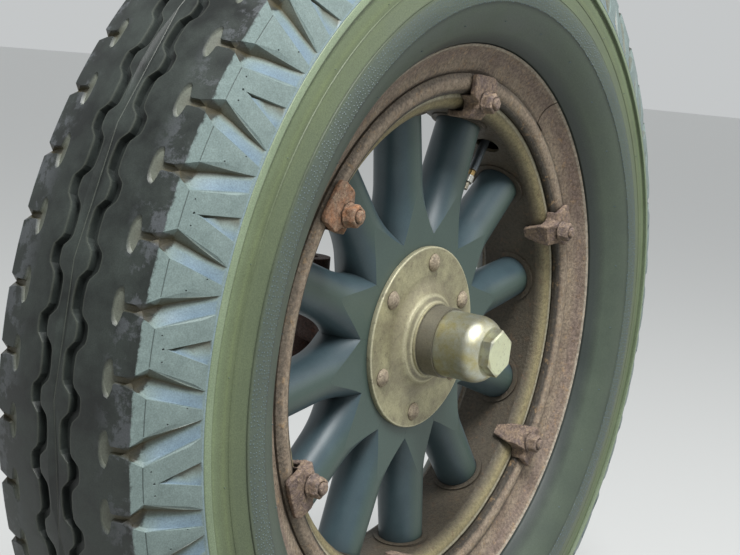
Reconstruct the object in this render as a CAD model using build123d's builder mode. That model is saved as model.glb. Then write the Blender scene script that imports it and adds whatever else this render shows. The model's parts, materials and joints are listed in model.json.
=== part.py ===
from build123d import *
from math import cos, degrees, hypot, radians, sin, sqrt, tan
import os

# Front wheel of an early motor car on its steering knuckle: wood spokes in a steel felloe, a rim
# with a split side ring held by wedge clamps, and a bias tyre. Millimetres, +Z up. The kingpin bore
# stands on Z at the origin, the spindle runs out along -Y, and the car's front lies towards -X.
os.makedirs("parts", exist_ok=True)

# Wheel as a whole
wheel_offset = 115.0  # kingpin axis to the middle of the spokes
tyre_offset = 3.0  # middle of the spokes to the middle of the tyre and rim, inboard
spoke_count = 12
fixing_count = 6  # hub bolts, and wedge clamps on the felloe
gap_angle = 25.3  # direction of one gap between two spokes
running_gap = 0.05  # radial clearance of a bearing on the spindle
seat_gap = 0.1  # clearance between pieces that are pressed or bolted together

# Rim and its split side ring: places are measured from the middle of the tyre
bead_seat_radius = 254.0
seat_half_width = 50.0
rim_wall = 4.5
flange_height = 21.0
flange_flare = 15.0
flange_round = 1.6
flange_hollow = 2.0  # how far a flange's curve is sunk below the line between its edges
gutter_depth = 14.0  # from the bead seat to the crest of the gutter's ring
gutter_inner_depth = 24.5
gutter_stand = 5.0  # how far the gutter's ring stands out past the bead seat
gutter_width = 9.5
gutter_round = 3.2
gutter_slope = 6.0
ring_foot_depth = 6.0  # from the bead seat down to the side ring's seat
ring_foot_width = 4.0  # how far the side ring's foot reaches in under the bead
groove_depth = 2.2  # of the groove between the gutter and the side ring
groove_width = 3.6
split_angle = 55.1
split_bow = 1.1  # degrees that the split bends aside on its way out
split_width = 1.3
hook_turn = 2.9  # degrees that the split runs along the ring's foot
hook_height = 2.0  # above the foot

# Tyre
tread_radius = 433.0
tread_half_width = 66.0
tread_drop = 8.0
bend_drop = 20.0
bend_out = 10.5
shoulder_drop = 56.0
shoulder_out = 23.0
step_height = 3.0
step_depth = 2.5
sidewall_bulge = 5.0
widest_share = 0.585  # height of the widest place between rim and shoulder
tyre_crown_wall = 22.0
tyre_side_wall = 10.0
tyre_rim_gap = 1.0
bead_width = 18.0
bead_toe_height = 17.0
bead_toe_slope = 2.0

# Scoops between the lugs of the tyre's shoulder, and the recess in each wide lug
lug_pairs = 27  # one narrow and one wide lug each
lug_angle = 166.96  # direction of the middle of a narrow lug
cut_air = 4.0  # how far the cutting forms reach out of the rubber
scoop_slope = 0.73
scoop_start = 10.2  # down the shoulder from the tread's edge
scoop_end = 54.0
scoop_depth = 8.0
scoop_floor = 4.0
scoop_neck_depth = 5.6
scoop_neck_floor = 1.1
scoop_end_floor = 7.2
scoop_lean = 11.9
recess_slope = 0.25
recess_start = 20.0
recess_depth = 3.4
recess_floor = 0.4
recess_end_floor = 8.6
cut_end_lift = 0.3

# Felloe: places are measured from the middle of the spokes
felloe_gap = 15.5  # from the gutter to the band
felloe_wall = 3.5
felloe_flat = 30.0
felloe_lip_gap = 0.5  # between the lip and the gutter
felloe_lip_recess = 1.0
felloe_seat_place = 41.0
lip_curl = 0.3
collar_width = 5.5
collar_height = 3.0
collar_gap = 0.5

# Spokes
spoke_thick = 46.0  # across the flats at the hub
spoke_root = 40.0  # half depth at the barrel
arch_margin = 8.3  # the flats' arches start this far outside the hub's flange
spoke_neck_place = 150.0  # distance from the axle
spoke_neck_radius = 22.6
spoke_foot_radius = 21.5
tenon_radius = 11.0

# Hub
inner_bearing_radius = 30.0
outer_bearing_radius = 21.0
inner_bearing_width = 20.0
outer_bearing_width = 15.0
bearing_recess = 4.0
bearing_step = 5.0
barrel_wall = 8.0
hub_back = 46.0
flange_radius = 86.2
flange_thick = 4.5
flange_edge_round = 1.2
rear_flange_thick = 5.0
flare_width = 18.0
flare_height = 6.6
flare_ring_radius = 41.5
neck_ring_radius = 35.2
neck_ring_place = 39.6
neck_ring_width = 1.8
nose_radius = 33.0
nose_face = 57.0

# Hub bolts
bolt_edge = 15.2  # from the flange's edge to the bolts' circle
bolt_radius = 5.5
bolt_head_radius = 9.0
bolt_head_height = 5.2
nut_across = 18.0
nut_height = 8.0
nut_chamfer = 1.2
thread_end = 3.0

# Hub cap
cap_step = 1.9
cap_length = 29.0
cap_round_length = 15.0
cap_round_out = 2.6
cap_hex_across = 38.0
cap_hex_height = 9.9
cap_hex_chamfer = 1.4
cap_wall = 3.0

# Spindle
inner_seat_radius = 17.5
outer_seat_radius = 11.0
thread_radius = 9.5
thread_length = 20.0
spindle_collar_radius = 27.0
spindle_collar_gap = 6.0

# Knuckle and its arm
kingpin_radius = 11.0
knuckle_radius = 23.0
knuckle_height = 112.0
knuckle_root = 6.0
knuckle_edge = 1.5
arm_height = -34.0
arm_length = 150.0
arm_reach = 34.0
arm_thick = 18.0
arm_root_radius = 17.0
arm_waist = 4.0
arm_eye_radius = 16.0
arm_bore_radius = 7.5
arm_round = 3.0
pad_margin = 2.0

# Wedge clamps, their studs and nuts
clamp_half_width = 20.0
clamp_thick = 6.0
clamp_round = 2.0
clamp_slope = 8.0
clamp_foot_depth = 22.0
clamp_foot_width = 10.4
clamp_boss_radius = 11.0
clamp_top_height = 8.0  # above the crest of the gutter's ring
clamp_head_height = 22.0
clamp_head_round = 5.0
clamp_side_gap = 1.0
stud_edge = 5.8  # from the lip's edge to the studs' circle
stud_radius = 5.5
stud_root = 8.0
clamp_nut_across = 17.0
clamp_nut_height = 9.0
clamp_nut_chamfer = 1.2
washer_radius = 10.5
washer_thick = 1.8

# Valve
valve_radius = 4.5
valve_place = -4.0
valve_gap_number = 1  # gaps between spokes from gap_angle on to the valve's gap
valve_turn = 1.3  # degrees aside from the middle of that gap
valve_hole_radius = 12.0
valve_hole_place = -8.2
valve_length = 52.0  # past the felloe towards the axle
valve_tip_radius = 2.6
valve_tip_length = 7.5
valve_nut_radius = 4.3
valve_nut_height = 7.5
valve_neck_radius = 3.4
valve_neck_length = 6.0
valve_foot_radius = 10.0
valve_foot_height = 2.5

# Sizes and places that follow from these
rim_edge_radius = bead_seat_radius + flange_height
rim_half_width = seat_half_width + flange_flare
rim_under = bead_seat_radius - seat_gap - rim_wall
flange_inside = rim_half_width - rim_wall
gutter_radius = bead_seat_radius - gutter_depth
gutter_inner_radius = bead_seat_radius - gutter_inner_depth
gutter_face = seat_half_width + gutter_stand
gutter_back = gutter_face - gutter_width
gutter_lip = gutter_face - gutter_round
ring_seat_radius = bead_seat_radius - ring_foot_depth
ring_start = seat_half_width - ring_foot_width
felloe_radius = gutter_inner_radius - felloe_gap
felloe_outer = felloe_radius + felloe_wall
felloe_lip_radius = gutter_inner_radius - felloe_lip_gap
felloe_lip_face = gutter_back - tyre_offset - felloe_lip_recess
clamp_circle_radius = felloe_lip_radius - stud_edge
barrel_radius = inner_bearing_radius + barrel_wall
bolt_circle_radius = flange_radius - bolt_edge
half_spoke_angle = 180 / spoke_count
first_spoke_angle = gap_angle - half_spoke_angle
valve_angle = gap_angle + 2 * half_spoke_angle * valve_gap_number + valve_turn
spindle_axis = Axis.Y

# Profiles of turned pieces are drawn on these planes as (radius, distance from the middle)
section = Plane(origin=(0, -wheel_offset, 0), x_dir=(1, 0, 0), z_dir=(0, 0, 1))
tyre_section = Plane(origin=(0, tyre_offset - wheel_offset, 0), x_dir=(1, 0, 0), z_dir=(0, 0, 1))
tyre_middle = Plane(origin=(0, tyre_offset - wheel_offset, 0), x_dir=(1, 0, 0), z_dir=(0, 1, 0))


def wheel_face(place):
    """Plane across the axle, seen from outside, at a distance from the middle of the spokes."""
    return Plane(origin=(0, place - wheel_offset, 0), x_dir=(1, 0, 0), z_dir=(0, -1, 0))


def radial_plane(angle, radius, place=0.0):
    """Plane across a spoke's line, its y axis towards the outside of the wheel."""
    a = radians(angle)
    return Plane(
        origin=(radius * cos(a), place - wheel_offset, radius * sin(a)),
        x_dir=(-sin(a), 0, cos(a)),
        z_dir=(cos(a), 0, sin(a)),
    )


def lengthwise_plane(angle, place=0.0):
    """Plane along a spoke's line: x is the distance from the axle, y points outboard."""
    a = radians(angle)
    return Plane(
        origin=(0, place - wheel_offset, 0), x_dir=(cos(a), 0, sin(a)), z_dir=(sin(a), 0, -cos(a))
    )


def spoke_line(angle, place=0.0):
    """Line from the axle through a spoke."""
    a = radians(angle)
    return Axis((0, place - wheel_offset, 0), (cos(a), 0, sin(a)))


def around(radius, angle):
    """Point of the wheel's face in its direction from the axle."""
    return radius * cos(radians(angle)), radius * sin(radians(angle))


def flange_points(start, end, side):
    """Three points of a flange's curve, which is hollow outboard (side -1) or inboard (side 1)."""
    middle = ((start[0] + end[0]) / 2, (start[1] + end[1]) / 2 - side * flange_hollow)
    return start, middle, end


# Forms that cut the tyre's shoulder, drawn with x along the radius and z outboard. Each is a loft
# down the shoulder's line, from sections that lie across it.
tread_edge_radius = tread_radius - tread_drop
shoulder_foot_radius = tread_edge_radius - shoulder_drop
shoulder_half_width = tread_half_width + shoulder_out
shoulder_length = hypot(shoulder_drop, shoulder_out)


def shoulder_plane(angle, run):
    """Plane across the shoulder's line, a run down from the tread's edge; y points into the rubber."""
    a = radians(angle)
    down = shoulder_drop / shoulder_length
    out = shoulder_out / shoulder_length
    radius = tread_edge_radius - down * run
    return Plane(
        origin=(radius * cos(a), radius * sin(a), tread_half_width + out * run),
        x_dir=(sin(a), -cos(a), 0),
        z_dir=(-down * cos(a), -down * sin(a), out),
    )


half_pair = 180 / lug_pairs
shoulder_cuts = [
    # direction, slope of the walls, sections as (run, shift aside, half width of the floor, depth)
    (
        lug_angle + half_pair * (1 + side / 2),
        scoop_slope,
        [
            (-scoop_start, 0, scoop_neck_floor, scoop_neck_depth),
            (scoop_start, 0, scoop_floor, scoop_depth),
            (scoop_end, -side * scoop_lean, scoop_end_floor, -cut_end_lift),
        ],
    )
    for side in (-1, 1)
]
shoulder_cuts.append(
    (
        lug_angle + half_pair,
        recess_slope,
        [
            (recess_start, 0, recess_floor, recess_depth),
            (scoop_end, 0, recess_end_floor, -cut_end_lift),
        ],
    )
)
with BuildPart() as lug_cuts:
    for angle, slope, sections in shoulder_cuts:
        for run, aside, floor_half, depth in sections:
            mouth_half = floor_half + slope * (depth + cut_air)
            with BuildSketch(shoulder_plane(angle, run)):
                with BuildLine():
                    Polyline(
                        (aside - floor_half, depth),
                        (aside + floor_half, depth),
                        (aside + mouth_half, -cut_air),
                        (aside - mouth_half, -cut_air),
                        close=True,
                    )
                make_face()
        loft(ruled=True)

# Tyre: a carcass open towards the rim, drawn and cut for the outer half, and mirrored
with BuildPart(wheel_face(tyre_offset)) as tyre:
    with BuildSketch(tyre_section):
        with BuildLine():
            crown_bend = (tread_half_width**2 + tread_drop**2) / (2 * tread_drop)
            crown = RadiusArc((tread_radius, 0), (tread_edge_radius, -tread_half_width), crown_bend)
            step_radius = shoulder_foot_radius - step_height
            shoulder = Polyline(
                crown @ 1,
                (tread_edge_radius - bend_drop, -(tread_half_width + bend_out)),
                (shoulder_foot_radius, -shoulder_half_width),
                (step_radius, -(shoulder_half_width - step_depth)),
            )
            widest_radius = rim_edge_radius + widest_share * (step_radius - rim_edge_radius)
            section_half_width = shoulder_half_width + sidewall_bulge
            flank = ThreePointArc(
                shoulder @ 1,
                (widest_radius, -section_half_width),
                (rim_edge_radius + tyre_rim_gap, -(rim_half_width + tyre_rim_gap / 2)),
            )
            bead_face = seat_half_width - seat_gap
            heel = (rim_edge_radius + tyre_rim_gap, -(flange_inside - seat_gap))
            Line(flank @ 1, heel)
            ThreePointArc(*flange_points(heel, (bead_seat_radius, -bead_face), -1))
            toe = bead_face - bead_width
            bead = Polyline(
                (bead_seat_radius, -bead_face),
                (bead_seat_radius, -toe),
                (bead_seat_radius + bead_toe_height, -(toe + bead_toe_slope)),
            )
            inner_crown = tread_radius - tyre_crown_wall
            inner_flank = ThreePointArc(
                bead @ 1,
                (widest_radius, -(section_half_width - tyre_side_wall)),
                (inner_crown - tyre_side_wall, -tread_half_width),
            )
            Polyline(
                inner_flank @ 1,
                (inner_crown, -(tread_half_width - tyre_crown_wall)),
                (inner_crown, 0),
                crown @ 0,
            )
        make_face()
    revolve(axis=spindle_axis)
    with PolarLocations(0, lug_pairs):
        add(lug_cuts.part, mode=Mode.SUBTRACT)
    mirror(about=tyre_middle)
tyre.part.label = "tyre"
export_step(tyre.part, "parts/tyre.step")

# Rim: one rolled band with a flange inboard and, outboard, a seat for the side ring and a rounded
# gutter for the wedge clamps
with BuildPart() as rim:
    with BuildSketch(tyre_section):
        with BuildLine():
            seat = bead_seat_radius - seat_gap
            crest = ThreePointArc(
                (ring_seat_radius, -gutter_lip),
                (gutter_radius, -gutter_face),
                (gutter_inner_radius + gutter_round, -gutter_lip),
            )
            corner_mid = gutter_round * (1 - sin(radians(45)))
            corner = ThreePointArc(
                crest @ 1,
                (gutter_inner_radius + corner_mid, -(gutter_lip - corner_mid)),
                (gutter_inner_radius, -(gutter_lip - gutter_round)),
            )
            Polyline(
                corner @ 1,
                (gutter_inner_radius, -gutter_back),
                (gutter_radius, -gutter_back),
                (rim_under, -(gutter_back - gutter_slope)),
                (rim_under, seat_half_width + rim_wall / 2),
            )
            flange_back = ThreePointArc(
                *flange_points(
                    (rim_under, seat_half_width + rim_wall / 2), (rim_edge_radius, rim_half_width), 1
                )
            )
            flange_face = ThreePointArc(
                *flange_points((rim_edge_radius, flange_inside), (seat, seat_half_width), 1)
            )
            Line(flange_back @ 1, flange_face @ 0)
            Polyline(
                flange_face @ 1,
                (seat, -ring_start),
                (ring_seat_radius, -ring_start),
                crest @ 0,
            )
        make_face()
        fillet(vertices().group_by(Axis.X)[-1], flange_round)
    revolve(axis=spindle_axis)
    with BuildSketch(radial_plane(valve_angle, gutter_inner_radius, valve_place)):
        Circle(valve_radius + seat_gap)
    extrude(amount=gutter_inner_depth + rim_wall, mode=Mode.SUBTRACT)
rim.part.label = "rim"
export_step(rim.part, "parts/rim.step")

# Side ring: the outboard flange, sprung into its seat beside the gutter. It is cut through at one
# place along a hooked line, which leaves a short tongue on the foot.
with BuildPart() as side_ring:
    with BuildSketch(tyre_section):
        with BuildLine():
            foot_radius = ring_seat_radius + seat_gap
            ring_face = ThreePointArc(
                *flange_points(
                    (foot_radius + groove_width, -gutter_lip), (rim_edge_radius, -rim_half_width), -1
                )
            )
            ring_back = ThreePointArc(
                *flange_points((rim_edge_radius, -flange_inside), (seat, -seat_half_width), -1)
            )
            Line(ring_face @ 1, ring_back @ 0)
            Polyline(
                ring_back @ 1,
                (seat, -(ring_start + seat_gap)),
                (foot_radius, -(ring_start + seat_gap)),
                (foot_radius, -(gutter_lip - groove_depth)),
                ring_face @ 0,
            )
        make_face()
        chamfer(vertices().group_by(Axis.X)[-1], flange_round / 2)
    revolve(axis=spindle_axis)
    with BuildSketch(wheel_face(tyre_offset - rim_half_width - rim_wall)):
        with BuildLine():
            hook_radius = foot_radius + hook_height
            hook = Polyline(
                around(gutter_radius, split_angle - hook_turn),
                around(hook_radius, split_angle - hook_turn),
                around(hook_radius, split_angle),
            )
            ThreePointArc(
                hook @ 1,
                around((hook_radius + rim_edge_radius) / 2, split_angle + split_bow),
                around(rim_edge_radius + rim_wall, split_angle),
            )
        trace(line_width=split_width)
    extrude(amount=-(rim_half_width - ring_start + 2 * rim_wall), mode=Mode.SUBTRACT)
side_ring.part.label = "side_ring"
export_step(side_ring.part, "parts/side_ring.step")

# Felloe: a steel band with a flared lip outboard, a seat for the rim inboard, and a raised
# collar round the foot of each spoke
with BuildPart() as felloe:
    with BuildSketch(section):
        with BuildLine():
            lip_back = felloe_lip_face - felloe_wall
            lip_width = felloe_lip_radius - felloe_radius
            lip_reach = felloe_lip_face - felloe_flat
            inner_curl = ThreePointArc(
                (felloe_radius, -felloe_flat),
                (felloe_radius + lip_curl * lip_width, -(felloe_lip_face - lip_curl * lip_reach)),
                (felloe_lip_radius, -felloe_lip_face),
            )
            outer_curl = ThreePointArc(
                (felloe_lip_radius, -lip_back),
                (
                    felloe_outer + lip_curl * (felloe_lip_radius - felloe_outer),
                    -(lip_back - lip_curl * (lip_reach - felloe_wall / 2)),
                ),
                (felloe_outer, -(felloe_flat - felloe_wall / 2)),
            )
            ThreePointArc(
                inner_curl @ 1,
                (felloe_lip_radius + felloe_lip_gap, -(felloe_lip_face + lip_back) / 2),
                outer_curl @ 0,
            )
            felloe_seat_radius = rim_under - seat_gap
            Polyline(
                outer_curl @ 1,
                (felloe_outer, felloe_flat - felloe_wall),
                (felloe_seat_radius, felloe_seat_place),
                (felloe_seat_radius, felloe_seat_place + felloe_wall),
                (felloe_radius + felloe_wall / 2, felloe_flat + felloe_wall),
                (felloe_radius, felloe_flat),
                inner_curl @ 0,
            )
        make_face()
    revolve(axis=spindle_axis)
    for k in range(spoke_count):
        angle = first_spoke_angle + 2 * half_spoke_angle * k
        with BuildSketch(radial_plane(angle, felloe_radius - collar_height)):
            Circle(spoke_foot_radius + collar_width)
            Circle(spoke_foot_radius + collar_gap, mode=Mode.SUBTRACT)
        extrude(amount=collar_height + felloe_wall / 2)
        with BuildSketch(radial_plane(angle, felloe_radius - felloe_wall)):
            Circle(tenon_radius + seat_gap)
        extrude(amount=3 * felloe_wall, mode=Mode.SUBTRACT)
    with BuildSketch(wheel_face(-felloe_lip_face - felloe_wall)):
        with PolarLocations(clamp_circle_radius, fixing_count, start_angle=gap_angle):
            Circle(stud_radius + seat_gap)
    extrude(amount=-(lip_reach + 2 * felloe_wall), mode=Mode.SUBTRACT)
    with BuildSketch(radial_plane(valve_angle, felloe_radius - felloe_wall, valve_hole_place)):
        Circle(valve_hole_radius)
    extrude(amount=3 * felloe_wall, mode=Mode.SUBTRACT)
felloe.part.label = "felloe"
export_step(felloe.part, "parts/felloe.step")

# Spokes: turned round towards the felloe, then planed flat front and back and mitred against each
# other at the hub, so that the flats end in a pointed arch
spoke_hub_end = barrel_radius + seat_gap
foot_face = sqrt(felloe_radius**2 - spoke_foot_radius**2) - seat_gap
arch_start = flange_radius + arch_margin
arch_half_depth = hypot(arch_start * tan(radians(half_spoke_angle)), spoke_thick / 2)
for k in range(spoke_count):
    angle = first_spoke_angle + 2 * half_spoke_angle * k
    with BuildPart() as spoke:
        with BuildSketch(lengthwise_plane(angle)):
            with BuildLine():
                flare = TangentArc(
                    (spoke_neck_place, spoke_neck_radius),
                    (arch_start, arch_half_depth),
                    tangent=(-1, 0),
                )
                Polyline(
                    flare @ 1,
                    (inner_bearing_radius, spoke_root),
                    (inner_bearing_radius, 0),
                    (felloe_outer, 0),
                    (felloe_outer, tenon_radius),
                    (foot_face, tenon_radius),
                    (foot_face, spoke_foot_radius),
                    flare @ 0,
                )
            make_face()
        revolve(axis=spoke_line(angle))
        with BuildSketch(wheel_face(-spoke_thick / 2)):
            mitre_start = seat_gap / 2 / sin(radians(half_spoke_angle))
            reach = tread_radius
            spread = (reach - mitre_start) * tan(radians(half_spoke_angle))
            Polygon(
                (mitre_start, 0), (reach, spread), (reach, -spread), rotation=angle, align=None
            )
        extrude(amount=-spoke_thick, mode=Mode.INTERSECT)
        with BuildSketch(wheel_face(-spoke_thick)):
            Circle(spoke_hub_end)
            with PolarLocations(bolt_circle_radius, fixing_count, start_angle=gap_angle):
                Circle(bolt_radius + seat_gap)
        extrude(amount=-2 * spoke_thick, mode=Mode.SUBTRACT)
    name = f"spoke_{k + 1:02d}"
    spoke.part.label = name
    export_step(spoke.part, f"parts/{name}.step")

# Hub: a turned barrel with its front flange, bored for two bearings
front_back = spoke_thick / 2 + seat_gap
front_face = front_back + flange_thick
with BuildPart() as hub:
    with BuildSketch(section):
        with BuildLine():
            outer_bore = outer_bearing_radius + seat_gap
            inner_bore = inner_bearing_radius + seat_gap
            flare_top = front_face + flare_height
            valley = neck_ring_place - neck_ring_width / 2
            valley_radius = (nose_radius + neck_ring_radius) / 2
            flare = ThreePointArc(
                (flare_ring_radius + flare_width, -front_face),
                (flare_ring_radius + flare_width / 3, -(front_face + flare_height / 4)),
                (flare_ring_radius, -flare_top),
            )
            throat = ThreePointArc(
                flare @ 1,
                (valley_radius + 2 * neck_ring_width, -(flare_top + neck_ring_width)),
                (valley_radius, -valley),
            )
            Polyline(
                throat @ 1,
                (neck_ring_radius, -valley),
                (neck_ring_radius, -(valley + neck_ring_width)),
                (nose_radius, -(valley + neck_ring_width)),
                (nose_radius, -nose_face),
                (outer_bore, -nose_face),
                (outer_bore, -(nose_face - outer_bearing_width - bearing_recess)),
                (outer_bore - bearing_step, -(nose_face - outer_bearing_width - bearing_recess)),
                (outer_bore - bearing_step, -(nose_face - outer_bearing_width - 2 * bearing_recess)),
                (inner_bore - bearing_step, hub_back - bearing_recess - inner_bearing_width),
                (inner_bore, hub_back - bearing_recess - inner_bearing_width),
                (inner_bore, hub_back),
                (barrel_radius, hub_back),
                (barrel_radius, -front_back),
                (flange_radius, -front_back),
                (flange_radius, -front_face),
                flare @ 0,
            )
        make_face()
        fillet(vertices().sort_by_distance((flange_radius, -front_face))[0], flange_edge_round)
    revolve(axis=spindle_axis)
    with BuildSketch(wheel_face(-front_face - flange_thick)):
        with PolarLocations(bolt_circle_radius, fixing_count, start_angle=gap_angle):
            Circle(bolt_radius + seat_gap)
    extrude(amount=-3 * flange_thick, mode=Mode.SUBTRACT)
hub.part.label = "hub"
export_step(hub.part, "parts/hub.step")

# Rear flange: a loose plate that the hub bolts pull against the back of the spokes
rear_face = spoke_thick / 2 + seat_gap
rear_back = rear_face + rear_flange_thick
with BuildPart() as rear_flange:
    with BuildSketch(wheel_face(rear_face)):
        Circle(flange_radius)
        Circle(barrel_radius + seat_gap, mode=Mode.SUBTRACT)
        with PolarLocations(bolt_circle_radius, fixing_count, start_angle=gap_angle):
            Circle(bolt_radius + seat_gap, mode=Mode.SUBTRACT)
    extrude(amount=-rear_flange_thick)
    outer_edges = edges().filter_by(GeomType.CIRCLE).group_by(SortBy.RADIUS)[-1]
    fillet(outer_edges, flange_edge_round)
rear_flange.part.label = "rear_flange"
export_step(rear_flange.part, "parts/rear_flange.step")

# Hub bolts: domed heads outboard, shanks through the mitres between the spokes. One bolt is turned
# on Z, with its head's seat at the origin, and set round the flange.
with BuildPart() as hub_bolt:
    with BuildSketch(Plane.XZ):
        with BuildLine():
            dome_radius = (bolt_head_radius**2 + bolt_head_height**2) / (2 * bolt_head_height)
            dome = RadiusArc((0, bolt_head_height), (bolt_head_radius, 0), dome_radius)
            shank_end = front_face + rear_back + nut_height + thread_end
            Polyline(
                dome @ 1,
                (bolt_radius, 0),
                (bolt_radius, -shank_end),
                (0, -shank_end),
                dome @ 0,
            )
        make_face()
    revolve(axis=Axis.Z)
with BuildPart(wheel_face(-front_face - seat_gap)) as hub_bolts:
    with PolarLocations(bolt_circle_radius, fixing_count, start_angle=gap_angle):
        add(hub_bolt.part)
hub_bolts.part.label = "hub_bolts"
export_step(hub_bolts.part, "parts/hub_bolts.step")

# Nuts on the back of the rear flange, their outer corners chamfered
with BuildPart() as hub_nut:
    with BuildSketch(Plane.XY):
        RegularPolygon(nut_across / 2, 6, major_radius=False)
    extrude(amount=nut_height)
    chamfer(faces().sort_by(Axis.Z)[-1].edges(), nut_chamfer)
    with BuildSketch(Plane.XY):
        Circle(bolt_radius + seat_gap)
    extrude(amount=nut_height, mode=Mode.SUBTRACT)
nut_seat = rear_back + seat_gap - wheel_offset
back_of_hub = Plane(origin=(0, nut_seat, 0), x_dir=(1, 0, 0), z_dir=(0, 1, 0))
with BuildPart(back_of_hub) as hub_nuts:
    with PolarLocations(bolt_circle_radius, fixing_count, start_angle=-gap_angle):
        add(hub_nut.part)
hub_nuts.part.label = "hub_nuts"
export_step(hub_nuts.part, "parts/hub_nuts.step")

# Hub cap: a hollow turned cap, rounded at its end, with a low hexagon for the spanner
with BuildPart() as hub_cap:
    with BuildSketch(section):
        with BuildLine():
            cap_radius = nose_radius - cap_step
            base = nose_face + seat_gap
            round_start = base + cap_length
            hex_start = round_start + cap_round_length
            hex_corner = cap_hex_across / 2 / cos(radians(30))
            rounded = ThreePointArc(
                (cap_radius, -round_start),
                (
                    (cap_radius + hex_corner) / 2 + cap_round_out,
                    -(round_start + cap_round_length / 2),
                ),
                (hex_corner + cap_round_out / 2, -hex_start),
            )
            inside = cap_radius - cap_wall
            Polyline(
                rounded @ 1,
                (0, -hex_start),
                (0, -(hex_start - 2 * cap_wall)),
                (hex_corner - cap_wall, -(hex_start - 2 * cap_wall)),
                (inside, -(round_start - cap_wall)),
                (inside, -base),
                (cap_radius, -base),
                rounded @ 0,
            )
        make_face()
    revolve(axis=spindle_axis)
    with BuildSketch(wheel_face(-hex_start)):
        RegularPolygon(cap_hex_across / 2, 6, major_radius=False, rotation=gap_angle)
    extrude(amount=cap_hex_height)
    chamfer(faces().sort_by(Axis.Y)[0].edges(), cap_hex_chamfer)
hub_cap.part.label = "hub_cap"
export_step(hub_cap.part, "parts/hub_cap.step")

# Bearings: one ring at each end of the barrel, running on the spindle
inner_bearing_face = hub_back - bearing_recess - inner_bearing_width + seat_gap
with BuildPart() as inner_bearing:
    with BuildSketch(wheel_face(inner_bearing_face)):
        Circle(inner_bearing_radius)
        Circle(inner_seat_radius + running_gap, mode=Mode.SUBTRACT)
    extrude(amount=-inner_bearing_width)
inner_bearing.part.label = "inner_bearing"
export_step(inner_bearing.part, "parts/inner_bearing.step")

outer_bearing_face = nose_face - bearing_recess
with BuildPart() as outer_bearing:
    with BuildSketch(wheel_face(-outer_bearing_face)):
        Circle(outer_bearing_radius)
        Circle(outer_seat_radius + running_gap, mode=Mode.SUBTRACT)
    extrude(amount=-(outer_bearing_width - seat_gap))
outer_bearing.part.label = "outer_bearing"
export_step(outer_bearing.part, "parts/outer_bearing.step")

# Clamps: forged wedges with a broad head that presses on the rim's gutter, and a tapered foot that
# hooks over the felloe's lip. One is drawn with x along the radius and z outboard, and set round
# the wheel.
clamp_back = gutter_face - tyre_offset + seat_gap
clamp_face = clamp_back + clamp_thick
clamp_half_angle = degrees(clamp_half_width / clamp_circle_radius)
clamp_top = gutter_radius + clamp_top_height
clamp_foot = felloe_radius - seat_gap
clamp_bottom = clamp_foot - clamp_thick
saddle_face = felloe_lip_face + seat_gap
with BuildPart() as clamp:
    side = radians(-clamp_half_angle)
    with BuildSketch(
        Plane(origin=(0, 0, 0), x_dir=(cos(side), sin(side), 0), z_dir=(sin(side), -cos(side), 0))
    ):
        with BuildLine():
            clamp_stop = gutter_inner_radius - clamp_side_gap
            Polyline(
                (clamp_top, clamp_back),
                (clamp_top, clamp_face - clamp_round),
                (gutter_radius - clamp_round, clamp_face),
                (clamp_foot + 2 * clamp_round, clamp_face),
                (clamp_bottom, clamp_face - clamp_slope),
                (clamp_bottom, clamp_foot_depth),
                (clamp_foot, clamp_foot_depth),
                (clamp_foot, saddle_face),
                (clamp_stop, saddle_face),
                (clamp_stop, clamp_back),
                close=True,
            )
        make_face()
    revolve(axis=Axis.Z, revolution_arc=2 * clamp_half_angle)
    with BuildSketch(Plane.XY):
        with BuildLine():
            top_sag = clamp_half_width**2 / (2 * clamp_top)
            top_edge = ThreePointArc(
                (clamp_top, 0),
                (clamp_top - top_sag / 4, clamp_half_width / 2),
                (clamp_top - top_sag, clamp_half_width),
            )
            head_inner = clamp_top - clamp_head_height
            head_end = Line(top_edge @ 1, (head_inner, clamp_half_width))
            boss_start = head_inner - clamp_head_round
            waist = ThreePointArc(
                head_end @ 1,
                (head_inner - clamp_round / 2, (clamp_half_width + clamp_boss_radius) / 2),
                (boss_start, clamp_boss_radius),
            )
            Polyline(
                waist @ 1,
                (clamp_bottom - clamp_round, clamp_boss_radius),
                (clamp_bottom - clamp_round, 0),
                top_edge @ 0,
            )
        make_face()
        mirror(about=Plane.XZ)
        side_corners = vertices().group_by(Axis.Y)
        fillet(side_corners[0] + side_corners[-1], clamp_head_round)
    extrude(amount=clamp_face, mode=Mode.INTERSECT)
    with BuildSketch(Plane.YZ):
        with BuildLine():
            Polyline(
                (0, clamp_foot_depth),
                (clamp_foot_width / 2, clamp_foot_depth),
                (clamp_boss_radius, saddle_face),
                (clamp_half_width + clamp_round, saddle_face),
                (clamp_half_width + clamp_round, clamp_face),
                (0, clamp_face),
                close=True,
            )
        make_face()
        mirror(about=Plane.YZ)
    extrude(amount=clamp_top + clamp_round, mode=Mode.INTERSECT)
    with BuildSketch(Plane.XY):
        with Locations((clamp_circle_radius, 0)):
            Circle(stud_radius + seat_gap)
    extrude(amount=clamp_face, mode=Mode.SUBTRACT)
with BuildPart(wheel_face(0)) as clamps:
    with PolarLocations(0, fixing_count, start_angle=gap_angle):
        add(clamp.part)
clamps.part.label = "clamps"
export_step(clamps.part, "parts/clamps.step")

# Studs through the felloe's lip
stud_tip = clamp_face + washer_thick + clamp_nut_height + thread_end
with BuildPart() as clamp_studs:
    with BuildSketch(wheel_face(-stud_tip)):
        with PolarLocations(clamp_circle_radius, fixing_count, start_angle=gap_angle):
            Circle(stud_radius)
    extrude(amount=-(stud_tip - felloe_lip_face + stud_root))
    chamfer(faces().group_by(Axis.Y)[0].edges(), clamp_nut_chamfer)
clamp_studs.part.label = "clamp_studs"
export_step(clamp_studs.part, "parts/clamp_studs.step")

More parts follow.
